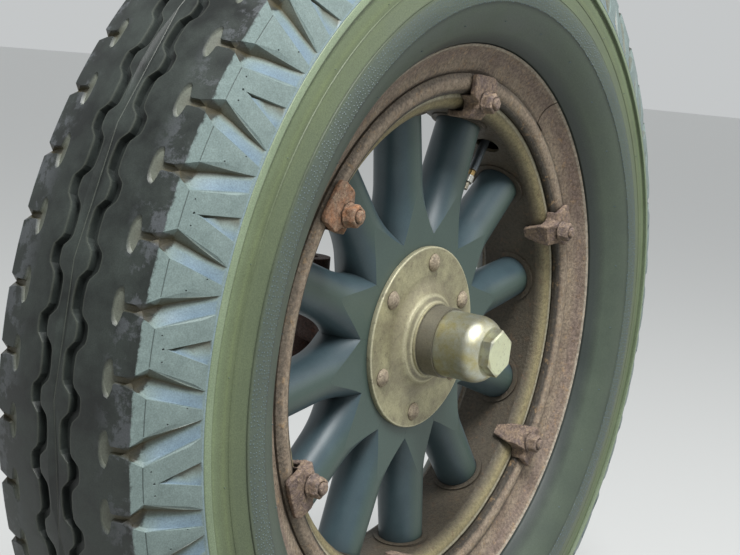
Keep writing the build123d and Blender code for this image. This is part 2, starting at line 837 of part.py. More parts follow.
# Clamp nuts: hexagons with a round foot like a washer, chamfered outboard
with BuildPart() as clamp_nut:
    with BuildSketch(Plane.XY.offset(washer_thick)):
        RegularPolygon(clamp_nut_across / 2, 6, major_radius=False)
    extrude(amount=clamp_nut_height)
    chamfer(faces().sort_by(Axis.Z)[-1].edges(), clamp_nut_chamfer)
    with BuildSketch(Plane.XY):
        Circle(washer_radius)
    extrude(amount=washer_thick)
    with BuildSketch(Plane.XY):
        Circle(stud_radius + seat_gap)
    extrude(amount=washer_thick + clamp_nut_height, mode=Mode.SUBTRACT)
with BuildPart(wheel_face(-(clamp_face + seat_gap))) as clamp_nuts:
    with PolarLocations(clamp_circle_radius, fixing_count, start_angle=gap_angle):
        add(clamp_nut.part)
clamp_nuts.part.label = "clamp_nuts"
export_step(clamp_nuts.part, "parts/clamp_nuts.step")

# Knuckle: a forging with the kingpin barrel and the spindle that the wheel turns on
spindle_shoulder = -(wheel_offset - hub_back) + spindle_collar_gap
inner_seat_end = -(wheel_offset - hub_back) - 2 * bearing_recess - inner_bearing_width
outer_seat_start = -(wheel_offset + outer_bearing_face - outer_bearing_width - bearing_recess)
outer_seat_end = -(wheel_offset + nose_face - bearing_recess / 2)
spindle_end = -(wheel_offset + nose_face) - thread_length
with BuildPart() as knuckle:
    with BuildSketch(Plane.XY):
        with BuildLine():
            web = ThreePointArc(
                (knuckle_radius + knuckle_root, -knuckle_radius / 2),
                (spindle_collar_radius + knuckle_root / 4, -(knuckle_radius + knuckle_root / 2)),
                (spindle_collar_radius, -(knuckle_radius + 2 * knuckle_root)),
            )
            Polyline(
                web @ 1,
                (spindle_collar_radius, spindle_shoulder),
                (inner_seat_radius, spindle_shoulder - knuckle_root / 2),
                (inner_seat_radius, inner_seat_end),
                (outer_seat_radius, outer_seat_start),
                (outer_seat_radius, outer_seat_end),
                (thread_radius, outer_seat_end - knuckle_edge),
                (thread_radius, spindle_end),
                (0, spindle_end),
                (0, 0),
                (knuckle_radius, 0),
                web @ 0,
            )
        make_face()
    revolve(axis=spindle_axis)
    with BuildSketch(Plane.XY.offset(-knuckle_height / 2)):
        Circle(knuckle_radius)
    extrude(amount=knuckle_height)
    with BuildSketch(Plane.XY.offset(arm_height - arm_thick / 2 - pad_margin)):
        with Locations((knuckle_radius, 0)):
            RectangleRounded(2 * knuckle_radius, 2 * arm_root_radius, arm_round)
    extrude(amount=arm_thick + 2 * pad_margin)
    with BuildSketch(Plane.XY.offset(-knuckle_height / 2)):
        Circle(kingpin_radius)
    extrude(amount=knuckle_height, mode=Mode.SUBTRACT)
knuckle.part.label = "knuckle"
export_step(knuckle.part, "parts/knuckle.step")

# Steering arm: a forged bar from the knuckle's pad to the eye of the tie rod
with BuildPart() as steering_arm:
    with BuildSketch(Plane.XY.offset(arm_height - arm_thick / 2)):
        start_x = 2 * knuckle_radius + seat_gap
        eye_half = arm_eye_radius - arm_waist
        with BuildLine():
            front = ThreePointArc(
                (start_x, -arm_root_radius),
                ((start_x + arm_length) / 2, (arm_reach - arm_root_radius - eye_half) / 2 + arm_waist),
                (arm_length, arm_reach - eye_half),
            )
            back = ThreePointArc(
                (arm_length, arm_reach + eye_half),
                ((start_x + arm_length) / 2, (arm_reach + arm_root_radius + eye_half) / 2 - arm_waist),
                (start_x, arm_root_radius),
            )
            Line(front @ 1, back @ 0)
            Line(back @ 1, front @ 0)
        make_face()
        with Locations((arm_length, arm_reach)):
            Circle(arm_eye_radius)
            Circle(arm_bore_radius, mode=Mode.SUBTRACT)
    extrude(amount=arm_thick)
steering_arm.part.label = "steering_arm"
export_step(steering_arm.part, "parts/steering_arm.step")

# Valve stem: from its foot inside the tyre through the rim and felloe towards the axle
with BuildPart() as valve_stem:
    with BuildSketch(lengthwise_plane(valve_angle, valve_place)):
        with BuildLine():
            valve_end = felloe_radius - valve_length
            nut_start = valve_end + valve_tip_length
            neck_start = nut_start + valve_nut_height
            stem_start = neck_start + valve_neck_length
            Polyline(
                (valve_end, 0),
                (valve_end, valve_tip_radius),
                (nut_start, valve_tip_radius),
                (nut_start, valve_nut_radius),
                (neck_start, valve_nut_radius),
                (neck_start, valve_neck_radius),
                (stem_start, valve_neck_radius),
                (stem_start, valve_radius),
                (bead_seat_radius, valve_radius),
                (bead_seat_radius, valve_foot_radius),
                (bead_seat_radius + valve_foot_height, valve_foot_radius),
                (bead_seat_radius + valve_foot_height, 0),
                close=True,
            )
        make_face()
    revolve(axis=spoke_line(valve_angle, valve_place))
valve_stem.part.label = "valve_stem"
export_step(valve_stem.part, "parts/valve_stem.step")
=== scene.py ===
import json
import math
import random

import bmesh
import bpy
from mathutils import Matrix, Vector
from mathutils.geometry import delaunay_2d_cdt


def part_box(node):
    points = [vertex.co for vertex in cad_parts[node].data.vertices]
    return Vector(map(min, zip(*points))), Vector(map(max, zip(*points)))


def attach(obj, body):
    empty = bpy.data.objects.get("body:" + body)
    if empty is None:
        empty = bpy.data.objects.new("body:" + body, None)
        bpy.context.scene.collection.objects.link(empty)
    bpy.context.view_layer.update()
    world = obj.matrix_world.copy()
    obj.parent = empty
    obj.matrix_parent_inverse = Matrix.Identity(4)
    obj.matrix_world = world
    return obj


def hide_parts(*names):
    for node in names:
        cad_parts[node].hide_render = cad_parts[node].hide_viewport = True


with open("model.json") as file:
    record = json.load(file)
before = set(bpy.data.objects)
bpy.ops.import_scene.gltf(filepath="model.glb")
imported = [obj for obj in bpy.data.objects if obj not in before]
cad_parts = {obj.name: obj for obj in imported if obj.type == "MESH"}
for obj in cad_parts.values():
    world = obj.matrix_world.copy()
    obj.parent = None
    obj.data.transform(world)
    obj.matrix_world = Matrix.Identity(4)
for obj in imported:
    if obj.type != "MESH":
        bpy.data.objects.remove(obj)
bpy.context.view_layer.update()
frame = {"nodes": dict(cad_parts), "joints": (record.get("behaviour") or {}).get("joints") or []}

# The camera stands low beside the wheel, ahead of it and to its left, and leans a little, as a hand
# held camera does. Its place and turn were fitted to the circles of the wheel: rim, hub and tyre.
axle = Vector(frame["joints"][0]["pos_m"])
camera_from_axle = Vector((-1.1030, -0.6997, 0.2503))
camera_azimuth = math.radians(-56.207)
camera_elevation = math.radians(8.737)
camera_roll = math.radians(5.231)
photo_width = 740
focal_pixels = 1400

camera_data = bpy.data.cameras.new("camera")
camera_data.sensor_width = 36
camera_data.lens = focal_pixels / photo_width * camera_data.sensor_width
camera_data.clip_start = 0.05
camera = bpy.data.objects.new("camera", camera_data)
bpy.context.scene.collection.objects.link(camera)
level = math.cos(camera_elevation)
backward = Vector((
    math.sin(camera_azimuth) * level, -math.cos(camera_azimuth) * level, math.sin(camera_elevation)
))
level_right = Vector((math.cos(camera_azimuth), math.sin(camera_azimuth), 0))
level_up = backward.cross(level_right)
rightward = level_right * math.cos(camera_roll) + level_up * math.sin(camera_roll)
upward = level_up * math.cos(camera_roll) - level_right * math.sin(camera_roll)
camera.matrix_world = Matrix.Translation(axle + camera_from_axle) @ Matrix(
    (rightward, upward, backward)
).transposed().to_4x4()
bpy.context.scene.camera = camera

# Tyre: bias-ply, black rubber cured in a two-part mould. The tread has two zigzag grooves and a slot
# for each lug, and every slot runs out over the shoulder as a scoop. Lugs are wide and narrow in turn,
# and the wide ones have a triangular recess. One wedge of it is modelled and repeated round the axle.
MM = 0.001
wedge_count = 27
wedge_turn = 360 / wedge_count
wedge_start = 166.96  # degrees from +X towards +Z, at the middle of a narrow lug
tyre_low, tyre_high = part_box("tyre")
tread_radius = tyre_high.z / MM
tyre_half_width = (tyre_high.y - tyre_low.y) / 2 / MM
tyre_middle = ((tyre_high.y + tyre_low.y) / 2 - axle.y) / MM
shoulder_width = 28  # from the tread's edge out to the widest place
tread_half_width = tyre_half_width - shoulder_width
tread_drop = 8  # from the middle of the tread to its edge
crown_bend = (tread_half_width ** 2 + tread_drop ** 2) / (2 * tread_drop)
crown_steps = 12
crown = []  # every outline of the tyre is a list of radius and distance from the tyre's middle
for k in range(crown_steps + 1):
    out = tread_half_width * k / crown_steps
    crown.append((tread_radius - crown_bend + math.sqrt(crown_bend ** 2 - out ** 2), out))
shoulder = [(416.5, 70.4), (405.6, 76.2), (395, 80.9), (385, 84.6), (375.6, 87.6)]
lug_foot = (374.2, 88.0)
outer = crown + shoulder + [lug_foot]
rings = [
    # down the sidewall: fine line, rib, step, smooth band, line, bulge
    (373.8, 87.6), (373.2, 88.3), (371, 89.1), (368.4, 89.5), (367.6, 89.2), (367.2, 86.6), (366.2, 86.2),
    (358, 87.2), (350, 88.3), (348.6, 88.5), (348.1, 89.1), (347.6, 88.7), (341, 90.2), (335, 91.6),
    (332.9, 92.2), (332.4, 91.7), (331.9, 92.9), (326, 93.8), (320, 94.0), (313.2, 93.4), (312.6, 92.7),
    (305, 90.8), (297, 86.9), (289, 81.2), (282, 74.2), (277.5, 68.6), (276, 66.0),
]
inside = [
    # round the bead and its seat, then up the inner wall to the crown
    (275.6, 60.2), (270, 56.2), (264.4, 52.9), (259, 50.8), (254.4, 49), (254, 44), (254, 31), (256, 29),
    (268, 33), (285, 52), (305, 72), (331, 81), (360, 78), (385, 68), (402, 52), (410, 30), (411, 0),
]


def along_profile(points):
    """Distance from the first point to each point of an outline."""
    total = [0.0]
    for near, far in zip(points, points[1:]):
        total.append(total[-1] + math.dist(near, far))
    return total


outer_run = along_profile(outer)  # a run is the distance along the skin from the tread's middle
tread_edge = outer_run[crown_steps]
bevel_edge = outer_run[crown_steps + 1]
lug_end = outer_run[-2]
strip_end = outer_run[-1]
flat_radius = 420  # radius at which the wedge is drawn flat
at_corner = 0.999  # share of a stretch from which its slope is that of the far corner
rounding_error = 1e-6


def raised(run, height):
    """Radius and distance from the middle of a point above or below the tyre's outer skin."""
    k = max(i for i in range(len(outer) - 1) if outer_run[i] <= run + rounding_error)
    (r0, p0), (r1, p1) = outer[k], outer[k + 1]
    share = (run - outer_run[k]) / (outer_run[k + 1] - outer_run[k])
    slope = math.atan2(r0 - r1, p1 - p0)
    if k + 2 < len(outer) and share > at_corner:
        r2, p2 = outer[k + 2]
        slope = (slope + math.atan2(r1 - r2, p2 - p1)) / 2
    radius = r0 + (r1 - r0) * share + height * math.cos(slope)
    return radius, p0 + (p1 - p0) * share + height * math.sin(slope)


def on_tyre(radius, out, turn):
    """Place in the scene of a point of the tyre, for a wedge that starts at turn 0."""
    a = math.radians(turn)
    return Vector((radius * math.cos(a), -out, radius * math.sin(a))) * MM


class FlatWedge:
    """Points and lines of one half of the wedge, drawn flat: turn in degrees, run in millimetres."""

    def __init__(self):
        self.points = []
        self.heights = []
        self.dust_and_painted_light = []
        self.painted_light_and_dirt = []
        self.lines = []
        self.known = {}

    def point(self, turn, run, height=0.0, dust_and_painted_light=0.0, painted_light_and_dirt=0.0):
        key = (round(turn, 4), round(run, 3))
        if key not in self.known:
            self.known[key] = len(self.points)
            self.points.append(key)
            self.heights.append(height)
            self.dust_and_painted_light.append(dust_and_painted_light)
            self.painted_light_and_dirt.append(painted_light_and_dirt)
        return self.known[key]

    def line(self, corners, height=0.0, dust_and_painted_light=0.0, closed=False):
        found = [self.point(turn, run, height, dust_and_painted_light) for turn, run in corners]
        if closed:
            found.append(found[0])
        self.lines += [(a, b) for a, b in zip(found, found[1:]) if a != b]


wedge = FlatWedge()
columns = 8
column_turns = [wedge_turn * k / columns for k in range(columns + 1)]
lug_turn = wedge_turn / 2
scoop_turns = [lug_turn / 2, lug_turn * 3 / 2]
scoop_leans = [-1.82, 1.82]  # degrees that the outer end of each scoop leans aside
slot_run = 46.5  # where a slot is widest
groove_edge = [
    # run, half width in degrees, for the slot, its stem and the scoop over the shoulder
    (slot_run - 5.6, 0.65), (slot_run - 4.6, 1.3), (slot_run - 2.6, 1.75), (slot_run, 1.9),
    (slot_run + 1.8, 1.65), (slot_run + 3.0, 1.1), (slot_run + 3.8, 0.5), (slot_run + 5.4, 0.4),
    (slot_run + 12, 0.42), (tread_edge, 0.72), (bevel_edge, 1.45), (lug_end, 1.02),
]
slot_floor = [
    # run, half width in degrees, depth, dust, and painted light and dirt, here the brown of dirt in the
    # stem
    (slot_run - 4.4, 0.5, 1.6, 0.8, 0), (slot_run - 2.4, 1.25, 2.2, 1.0, 0), (slot_run, 1.6, 2.0, 1.0, 0),
    (slot_run + 1.8, 1.0, 2.2, 0.9, 0), (slot_run + 3.4, 0.28, 3.0, 0.5, -0.5),
    (slot_run + 5.4, 0.24, 3.6, 0.3, -0.9), (slot_run + 12, 0.24, 4.2, 0.1, -0.9),
]
scoop_tracks = [
    # the lines along a scoop, from its upper edge down: run, shift aside in degrees, depth, and painted
    # light and dirt: below 0 brown painted shade along the upper wall and deepest line, with dirt at the
    # neck; above 0 a blue painted reflection of the sky on the lower slope
    [(bevel_edge + 1, -1.33, 1.6, -0.6), (bevel_edge + 14, -1.2, 1.3, -0.6),
     (bevel_edge + 30, -1.04, 0.8, -0.5)],
    [(tread_edge, 0.0, 4.6, -0.9), (bevel_edge + 1, -0.5, 7.4, -1.0), (bevel_edge + 14, -0.68, 6.0, -1.0),
     (bevel_edge + 30, -0.8, 3.8, -1.0), (lug_end - 2, -0.9, 1.0, -0.8)],
    [(bevel_edge + 1.6, 0.3, 5.2, 0.1), (bevel_edge + 14, 0.15, 4.6, 0.55),
     (bevel_edge + 30, -0.1, 2.9, 0.6), (lug_end - 2, -0.3, 0.9, 0.6)],
    [(tread_edge + 2, 0.62, 4.4, -0.5), (bevel_edge + 2.5, 1.2, 2.8, 0.2), (bevel_edge + 14, 1.1, 1.8, 0.9),
     (bevel_edge + 30, 0.98, 1.1, 1.0), (lug_end - 2, 0.9, 0.4, 0.9)],
]


def leaned(turn, run, lean):
    """Turn of a point of a scoop: its line leans from the bevel outwards."""
    return turn + lean * max(0.0, run - bevel_edge) / (lug_end - bevel_edge)


keep_clear = []  # outlines that the plain surface between grooves stays out of
for middle, lean in zip(scoop_turns, scoop_leans):
    left = [(leaned(middle, run, lean) - half, run) for run, half in groove_edge]
    right = [(leaned(middle, run, lean) + half, run) for run, half in groove_edge]
    around = left + right[::-1]
    wedge.line(around, closed=True)
    keep_clear.append(around)
    tracks = [
        [wedge.point(leaned(middle, run, lean) + aside, run, -depth, 0.0, painted_light_and_dirt)
         for run, aside, depth, painted_light_and_dirt in track]
        for track in scoop_tracks
    ]
    for track in tracks:
        wedge.lines += list(zip(track, track[1:]))
    for side in (-1, 1):
        track = [
            wedge.point(middle + side * half, run, -depth, dust_and_painted_light, painted_light_and_dirt)
            for run, half, depth, dust_and_painted_light, painted_light_and_dirt in slot_floor
        ]
        wedge.lines += list(zip(track, track[1:])) + [(track[-1], tracks[1][0])]
    end_run, end_half = slot_floor[0][:2]
    wedge.line([(middle - end_half, end_run), (middle + end_half, end_run)])

# the recess of the wide lug: one steep side, and a floor that rises from its foot to the other side
recess_half = 1.38
recess_point = bevel_edge + 10.5
recess_floor = [(0.2, 3.4), (0.5, 3.0), (0.8, 2.1), (0.95, 1.2)]  # share of its length, depth
recess_sides = [
    # side, how far its foot lies in from its edge in degrees, share of the depth, and painted light:
    # brown painted shade on the steep side, a blue painted reflection of the sky on the other
    (-1, 0.16, 1.0, -0.9), (1, 0.13, 0.35, 0.9),
]
middle = wedge_turn / 2
recess = [(middle, recess_point), (middle - recess_half, lug_end), (middle + recess_half, lug_end)]
wedge.line([recess[1], recess[0], recess[2]])
for side, wall, shallower, painted_light_and_dirt in recess_sides:
    track = [
        wedge.point(middle + side * (recess_half * share - wall),
                    recess_point + (lug_end - recess_point) * share, -depth * shallower, 0.0, painted_light_and_dirt)
        for share, depth in recess_floor
    ]
    wedge.lines += list(zip(track, track[1:]))
keep_clear.append(recess)

# vent marks of the mould: small pits on the faces of the lugs, and one at the point of each recess,
# each painted dark at its bottom as painted shade
turn_per_mm = 1 / (math.radians(1) * flat_radius)
vent_marks = [
    # turn, run down from the bevel, radius, depth
    (0.75, 17, 0.9, 1.0), (wedge_turn - 0.8, 31, 0.8, 0.9), (middle - 1.3, 6, 0.8, 0.9),
    (middle + 1.25, 8.5, 0.9, 0.9), (middle, 8.2, 1.1, 1.3),
]
vent_corners = 6
for turn, down, size, depth in vent_marks:
    corners = [
        (turn + size * math.cos(math.tau * k / vent_corners) * turn_per_mm,
         bevel_edge + down + size * math.sin(math.tau * k / vent_corners))
        for k in range(vent_corners)
    ]
    wedge.line(corners, closed=True)
    wedge.point(turn, bevel_edge + down, -depth, dust_and_painted_light=-1.0)
    keep_clear.append(corners)

# fine crease across each lug where its face bends over at the bevel, painted dark along its bottom
# as painted shade
crease_half_width = 0.55
crease_depth = 0.45
crease_lines = [
    # shift along the run, height, and dust and painted light, here only painted shade
    (-crease_half_width, 0, 0), (0, -crease_depth, -0.6), (crease_half_width, 0, 0),
]
crease_gap = 0.12  # degrees between the crease and a scoop
scoop_lip = max(half for _, half in groove_edge[-3:])
lug_spans = [
    (0.0, scoop_turns[0] - scoop_lip), (scoop_turns[0] + scoop_lip, scoop_turns[1] - scoop_lip),
    (scoop_turns[1] + scoop_lip, wedge_turn),
]
for first_turn, last_turn in lug_spans:
    first_turn += 0.0 if first_turn == 0 else crease_gap
    last_turn -= 0.0 if last_turn == wedge_turn else crease_gap
    turns = [first_turn] + [t for t in column_turns if first_turn < t < last_turn] + [last_turn]
    for shift, height, dust_and_painted_light in crease_lines:
        wedge.line([(turn, bevel_edge + shift) for turn in turns], height, dust_and_painted_light)

# zigzag groove: its sides turn in beside each slot and out between slots
zigzag_in, zigzag_out = 6.6, 14.4
zigzag_width = 9.8
zigzag_depth = 6.5
zigzag_wall = 1.3
zigzag_corners = [
    # degrees past the middle of a slot, run
    (-1.75, zigzag_in + 1.2), (-1.3, zigzag_in), (0.1, zigzag_in - 0.5), (1.2, zigzag_in),
    (1.6, zigzag_in + 1.4), (2.3, zigzag_out - 0.9), (2.7, zigzag_out), (3.6, zigzag_out),
    (4.1, zigzag_out - 0.9),
]
zigzag = [(lug_turn * (k + 0.5) + past, run) for k in range(-1, 3) for past, run in zigzag_corners]


def within_wedge(track):
    """The part of a line that lies in the wedge, cut at its two sides."""
    kept = []
    for (t0, s0), (t1, s1) in zip(track, track[1:]):
        for edge in (0.0, wedge_turn):
            if t0 < edge < t1:
                kept.append((edge, s0 + (s1 - s0) * (edge - t0) / (t1 - t0)))
        if 0 <= t1 <= wedge_turn:
            kept.append((t1, s1))
    return sorted(set((round(t, 4), round(s, 3)) for t, s in kept))


groove_sides = [
    # shift along the run, height, and dust and painted light: a painted highlight on the lips, painted
    # shade on the walls and floor
    (-1.6, 0.0, 0.0), (0.0, -0.35, 0.26), (zigzag_wall * 0.5, -2.2, -0.1),
    (zigzag_wall, -zigzag_depth, -0.3), (zigzag_width - zigzag_wall, -zigzag_depth, -0.3),
    (zigzag_width - zigzag_wall * 0.5, -2.2, -0.1), (zigzag_width, -0.35, 0.26),
    (zigzag_width + 1.6, 0.0, 0.0),
]
for shift, height, dust_and_painted_light in groove_sides:
    wedge.line(within_wedge([(turn, run + shift) for turn, run in zigzag]), height, dust_and_painted_light)
near_side = within_wedge(zigzag)
far_side = within_wedge([(turn, run + zigzag_width) for turn, run in zigzag])
keep_clear.append(near_side + far_side[::-1])

# the moulding seam round the middle of the tread
seam_height = 0.3
seam_half_width = 0.5
seam_dust = 0.55
wedge.line([(0, 0), (wedge_turn, 0)], seam_height, seam_dust)
wedge.line([(0, seam_half_width), (wedge_turn, seam_half_width)])


def is_inside(turn, run, outline, margin):
    """True if a point lies in an outline or within the margin of it, in millimetres."""
    flat = math.radians(1) * flat_radius
    x, y = turn * flat, run
    corners = [(t * flat, s) for t, s in outline]
    odd = False
    for (x0, y0), (x1, y1) in zip(corners, corners[1:] + corners[:1]):
        if (y0 > y) != (y1 > y) and x < (x1 - x0) * (y - y0) / (y1 - y0) + x0:
            odd = not odd
        length = math.dist((x0, y0), (x1, y1))
        share = 0 if length == 0 else ((x - x0) * (x1 - x0) + (y - y0) * (y1 - y0)) / length ** 2
        share = min(1, max(0, share))
        if math.dist((x, y), (x0 + (x1 - x0) * share, y0 + (y1 - y0) * share)) < margin:
            return True
    return odd


# plain surface between the grooves, in steps that follow the curve of the tyre
plain_margin = 1.2  # how far it keeps from a groove's outline
for run in [run for run in outer_run[1:] if run != bevel_edge]:
    for turn in column_turns:
        if not any(is_inside(turn, run, outline, plain_margin) for outline in keep_clear):
            wedge.point(turn, run)
wedge.line([(0.0, run) for run in sorted(run for turn, run in wedge.points if turn == 0)])
wedge.line([(turn, strip_end) for turn in column_turns])

flat_points = [Vector((math.radians(t) * flat_radius, s)) for t, s in wedge.points]
same_place = 1e-4
flat_out, _, triangles, origins = delaunay_2d_cdt(flat_points, wedge.lines, [], 0, same_place)[:4]

merge_mm = 0.02
shell = bmesh.new()
dust_and_painted_light_layer = shell.verts.layers.float.new("dust_and_painted_light")
painted_light_and_dirt_layer = shell.verts.layers.float.new("painted_light_and_dirt")
for side in (1, -1):
    corners = []
    for place, origin in zip(flat_out, origins):
        height = wedge.heights[origin[0]] if origin else 0.0
        turn = math.degrees(place.x / flat_radius)
        radius, out = raised(place.y, height)
        corner = shell.verts.new(on_tyre(radius, side * out, turn))
        corner[dust_and_painted_light_layer] = wedge.dust_and_painted_light[origin[0]] if origin else 0.0
        corner[painted_light_and_dirt_layer] = wedge.painted_light_and_dirt[origin[0]] if origin else 0.0
        corners.append(corner)
    for a, b, c in triangles:
        picked = [corners[a], corners[b], corners[c]]
        shell.faces.new(picked if side == 1 else picked[::-1])
    loops = [
        [shell.verts.new(on_tyre(radius, side * out, turn)) for turn in column_turns]
        for radius, out in [lug_foot] + rings + inside
    ]
    for near, far in zip(loops, loops[1:]):
        for k in range(columns):
            picked = [near[k], near[k + 1], far[k + 1], far[k]]
            shell.faces.new(picked if side == 1 else picked[::-1])
bmesh.ops.remove_doubles(shell, verts=shell.verts, dist=merge_mm * MM)

# knurled band of the sidewall, in uneven rows of small points, and thin pips left by the mould's vents
knurl_rows = [313.8, 316.6, 319.6, 322.6, 325.7, 328.9]
knurl_per_row = 22
knurl_skipped = 0.14
knurl_height = 0.6
knurl_half_width = (0.65, 0.95)
knurl_wander = 0.3  # share of the spacing along a row
row_wander = 0.7
point_sunk = 0.4
# the tip and inner side of each knurl point are painted blue grey, a painted highlight
point_painted_highlight = 0.55
pips = [
    # radius, turn, half width, height
    (296, 4.1, 0.5, 2.0), (352.5, 9.6, 0.45, 1.6),
]
uneven = random.Random(11)
skin = [lug_foot] + rings


def skin_out(radius):
    """Distance of the sidewall's skin from the tyre's middle, at a radius."""
    for (r0, p0), (r1, p1) in zip(skin, skin[1:]):
        if r1 <= radius <= r0 and r1 < r0:
            return p0 + (p1 - p0) * (r0 - radius) / (r0 - r1)
    return skin[-1][1]


points = list(pips)
for row in knurl_rows:
    for k in range(knurl_per_row):
        place = (k + 0.5 + uneven.uniform(-knurl_wander, knurl_wander)) * wedge_turn / knurl_per_row
        if uneven.random() > knurl_skipped:
            points.append((row + uneven.uniform(-row_wander, row_wander), place,
                           uneven.uniform(*knurl_half_width), knurl_height))
for side in (1, -1):
    for radius, turn, half, height in points:
        across = math.degrees(half / radius)
        low = skin_out(radius) - point_sunk
        base = [
            shell.verts.new(on_tyre(radius + dr * half, side * low, turn + dt * across))
            for dr, dt in ((-1, -1), (-1, 1), (1, 1), (1, -1))
        ]
        tip = shell.verts.new(on_tyre(radius, side * (low + point_sunk + height), turn))
        for corner in (tip, base[0], base[1]):
            corner[painted_light_and_dirt_layer] = point_painted_highlight
        shell.faces.new(base)
        for a, b in zip(base, base[1:] + base[:1]):
            shell.faces.new((a, b, tip))
bmesh.ops.recalc_face_normals(shell, faces=shell.faces)
tyre_mesh = bpy.data.meshes.new("tyre_wedge")
shell.to_mesh(tyre_mesh)
shell.free()
tyre = bpy.data.objects.new("tyre_rubber_shell", tyre_mesh)
bpy.context.scene.collection.objects.link(tyre)


def add_node(tree, kind, inputs=None, **settings):
    """Adds a node to a tree. An input is a value or another node's output."""
    node = tree.nodes.new(kind)
    for name, value in settings.items():
        setattr(node, name, value)
    for name, value in (inputs or {}).items():
        if isinstance(value, bpy.types.NodeSocket):
            tree.links.new(value, node.inputs[name])
        else:
            node.inputs[name].default_value = value
    return node


def linear(colour):
    """Linear colour of an sRGB hex value."""
    parts = [int(colour[k:k + 2], 16) / 255 for k in (1, 3, 5)]
    return (*(p / 12.92 if p <= 0.04045 else ((p + 0.055) / 1.055) ** 2.4 for p in parts), 1.0)


def repeated_round(piece, tree_name, count, first_turn, centre, finish):
    """Turns a wedge into a full ring about the axle, and the ring into a plain mesh."""
    tree = bpy.data.node_groups.new(tree_name, "GeometryNodeTree")
    face = tree.interface
    face.new_socket("Wedge", in_out="INPUT", socket_type="NodeSocketGeometry")
    count_id = face.new_socket("Count", in_out="INPUT", socket_type="NodeSocketInt").identifier
    start_id = face.new_socket("First turn", in_out="INPUT", socket_type="NodeSocketFloat").identifier
    centre_id = face.new_socket("Centre", in_out="INPUT", socket_type="NodeSocketVector").identifier
    face.new_socket("Ring", in_out="OUTPUT", socket_type="NodeSocketGeometry")
    given = add_node(tree, "NodeGroupInput")
    points = add_node(tree, "GeometryNodePoints", {"Count": given.outputs["Count"],
                                                   "Position": given.outputs["Centre"]})
    index = add_node(tree, "GeometryNodeInputIndex")
    step = add_node(tree, "ShaderNodeMath", {0: -math.tau, 1: given.outputs["Count"]}, operation="DIVIDE")
    turn = add_node(tree, "ShaderNodeMath", {0: index.outputs[0], 1: step.outputs[0],
                                             2: given.outputs["First turn"]}, operation="MULTIPLY_ADD")
    spin = add_node(tree, "ShaderNodeCombineXYZ", {"Y": turn.outputs[0]})
    copies = add_node(tree, "GeometryNodeInstanceOnPoints", {
        "Points": points.outputs[0], "Instance": given.outputs["Wedge"], "Rotation": spin.outputs[0]})
    real = add_node(tree, "GeometryNodeRealizeInstances", {0: copies.outputs[0]})
    joined = add_node(tree, "GeometryNodeMergeByDistance", {"Geometry": real.outputs[0],
                                                            "Distance": merge_mm * MM})
    dressed = add_node(tree, "GeometryNodeSetMaterial", {"Geometry": joined.outputs[0], "Material": finish})
    add_node(tree, "NodeGroupOutput", {0: dressed.outputs[0]})
    modifier = piece.modifiers.new("ring", "NODES")
    modifier.node_group = tree
    modifier[count_id] = count
    modifier[start_id] = -math.radians(first_turn)
    modifier[centre_id] = centre
    as_plain_mesh(piece)


def as_plain_mesh(piece):
    """Replaces a piece's mesh by what its modifiers make of it, and removes them."""
    depsgraph = bpy.context.evaluated_depsgraph_get()
    plain = bpy.data.meshes.new_from_object(piece.evaluated_get(depsgraph))
    piece.modifiers.clear()
    piece.data = plain


def seen_from_axle(tree):
    """Place on a piece, the same measured from the axle, and the distance from the axle's line."""
    place = add_node(tree, "ShaderNodeTexCoord").outputs["Object"]
    from_axle = add_node(tree, "ShaderNodeVectorMath", {0: place, 1: axle}, operation="SUBTRACT").outputs[0]
    parts = add_node(tree, "ShaderNodeSeparateXYZ", {0: from_axle}).outputs
    flat = add_node(tree, "ShaderNodeCombineXYZ", {0: parts[0], 2: parts[2]}).outputs[0]
    radius = add_node(tree, "ShaderNodeVectorMath", {0: flat}, operation="LENGTH").outputs["Value"]
    return place, parts, radius


def ring_share(tree, radius, start, end, soft, strength=1.0):
    """How much of a ring's colour shows: all between two radii, and less over its soft edges."""
    past_start = add_node(tree, "ShaderNodeMapRange", {
        "Value": radius, "From Min": (start - soft / 2) * MM, "From Max": (start + soft / 2) * MM,
        "To Max": strength}).outputs[0]
    inside_end = add_node(tree, "ShaderNodeMapRange", {
        "Value": radius, "From Min": (end - soft / 2) * MM, "From Max": (end + soft / 2) * MM,
        "To Min": 1, "To Max": 0}).outputs[0]
    return add_node(tree, "ShaderNodeMath", {0: past_start, 1: inside_end}, operation="MULTIPLY").outputs[0]


# Rubber with a dull satin skin, near black where it has met the road, with grey worn patches. Age has
# left the sidewall green and the lugs under a grey bloom, and the sidewall is painted lighter out to the
# shoulder as a painted highlight. One side of each scoop and recess is painted blue, a painted reflection
# of the sky, and the other brown, painted shade; the stems are brown with dirt. Dust lies in the slots.
# The zigzag grooves' lips carry a painted highlight, and their walls, the creases, the pits left by the
# mould's vents and the hollows are painted dark as painted shade.
tyre_rubber = bpy.data.materials.new("aged_tyre_rubber")
tyre_rubber.use_nodes = True
tree = tyre_rubber.node_tree
tree.nodes.clear()
place, parts, radius = seen_from_axle(tree)
out = add_node(tree, "ShaderNodeMath", {0: parts[1], 1: -tyre_middle * MM}, operation="ADD").outputs[0]
out = add_node(tree, "ShaderNodeMath", {0: out}, operation="ABSOLUTE").outputs[0]
grain_mm = 1.1
cloud_mm = 42
scuff_mm = 9
grain = add_node(tree, "ShaderNodeTexNoise", {
    "Vector": place, "Scale": 1 / (grain_mm * MM), "Detail": 4}).outputs["Fac"]
clouds = add_node(tree, "ShaderNodeTexNoise", {
    "Vector": place, "Scale": 1 / (cloud_mm * MM), "Detail": 7, "Roughness": 0.6}).outputs["Fac"]
scuffs = add_node(tree, "ShaderNodeTexNoise", {
    "Vector": place, "Scale": 1 / (scuff_mm * MM), "Detail": 8, "Roughness": 0.75}).outputs["Fac"]
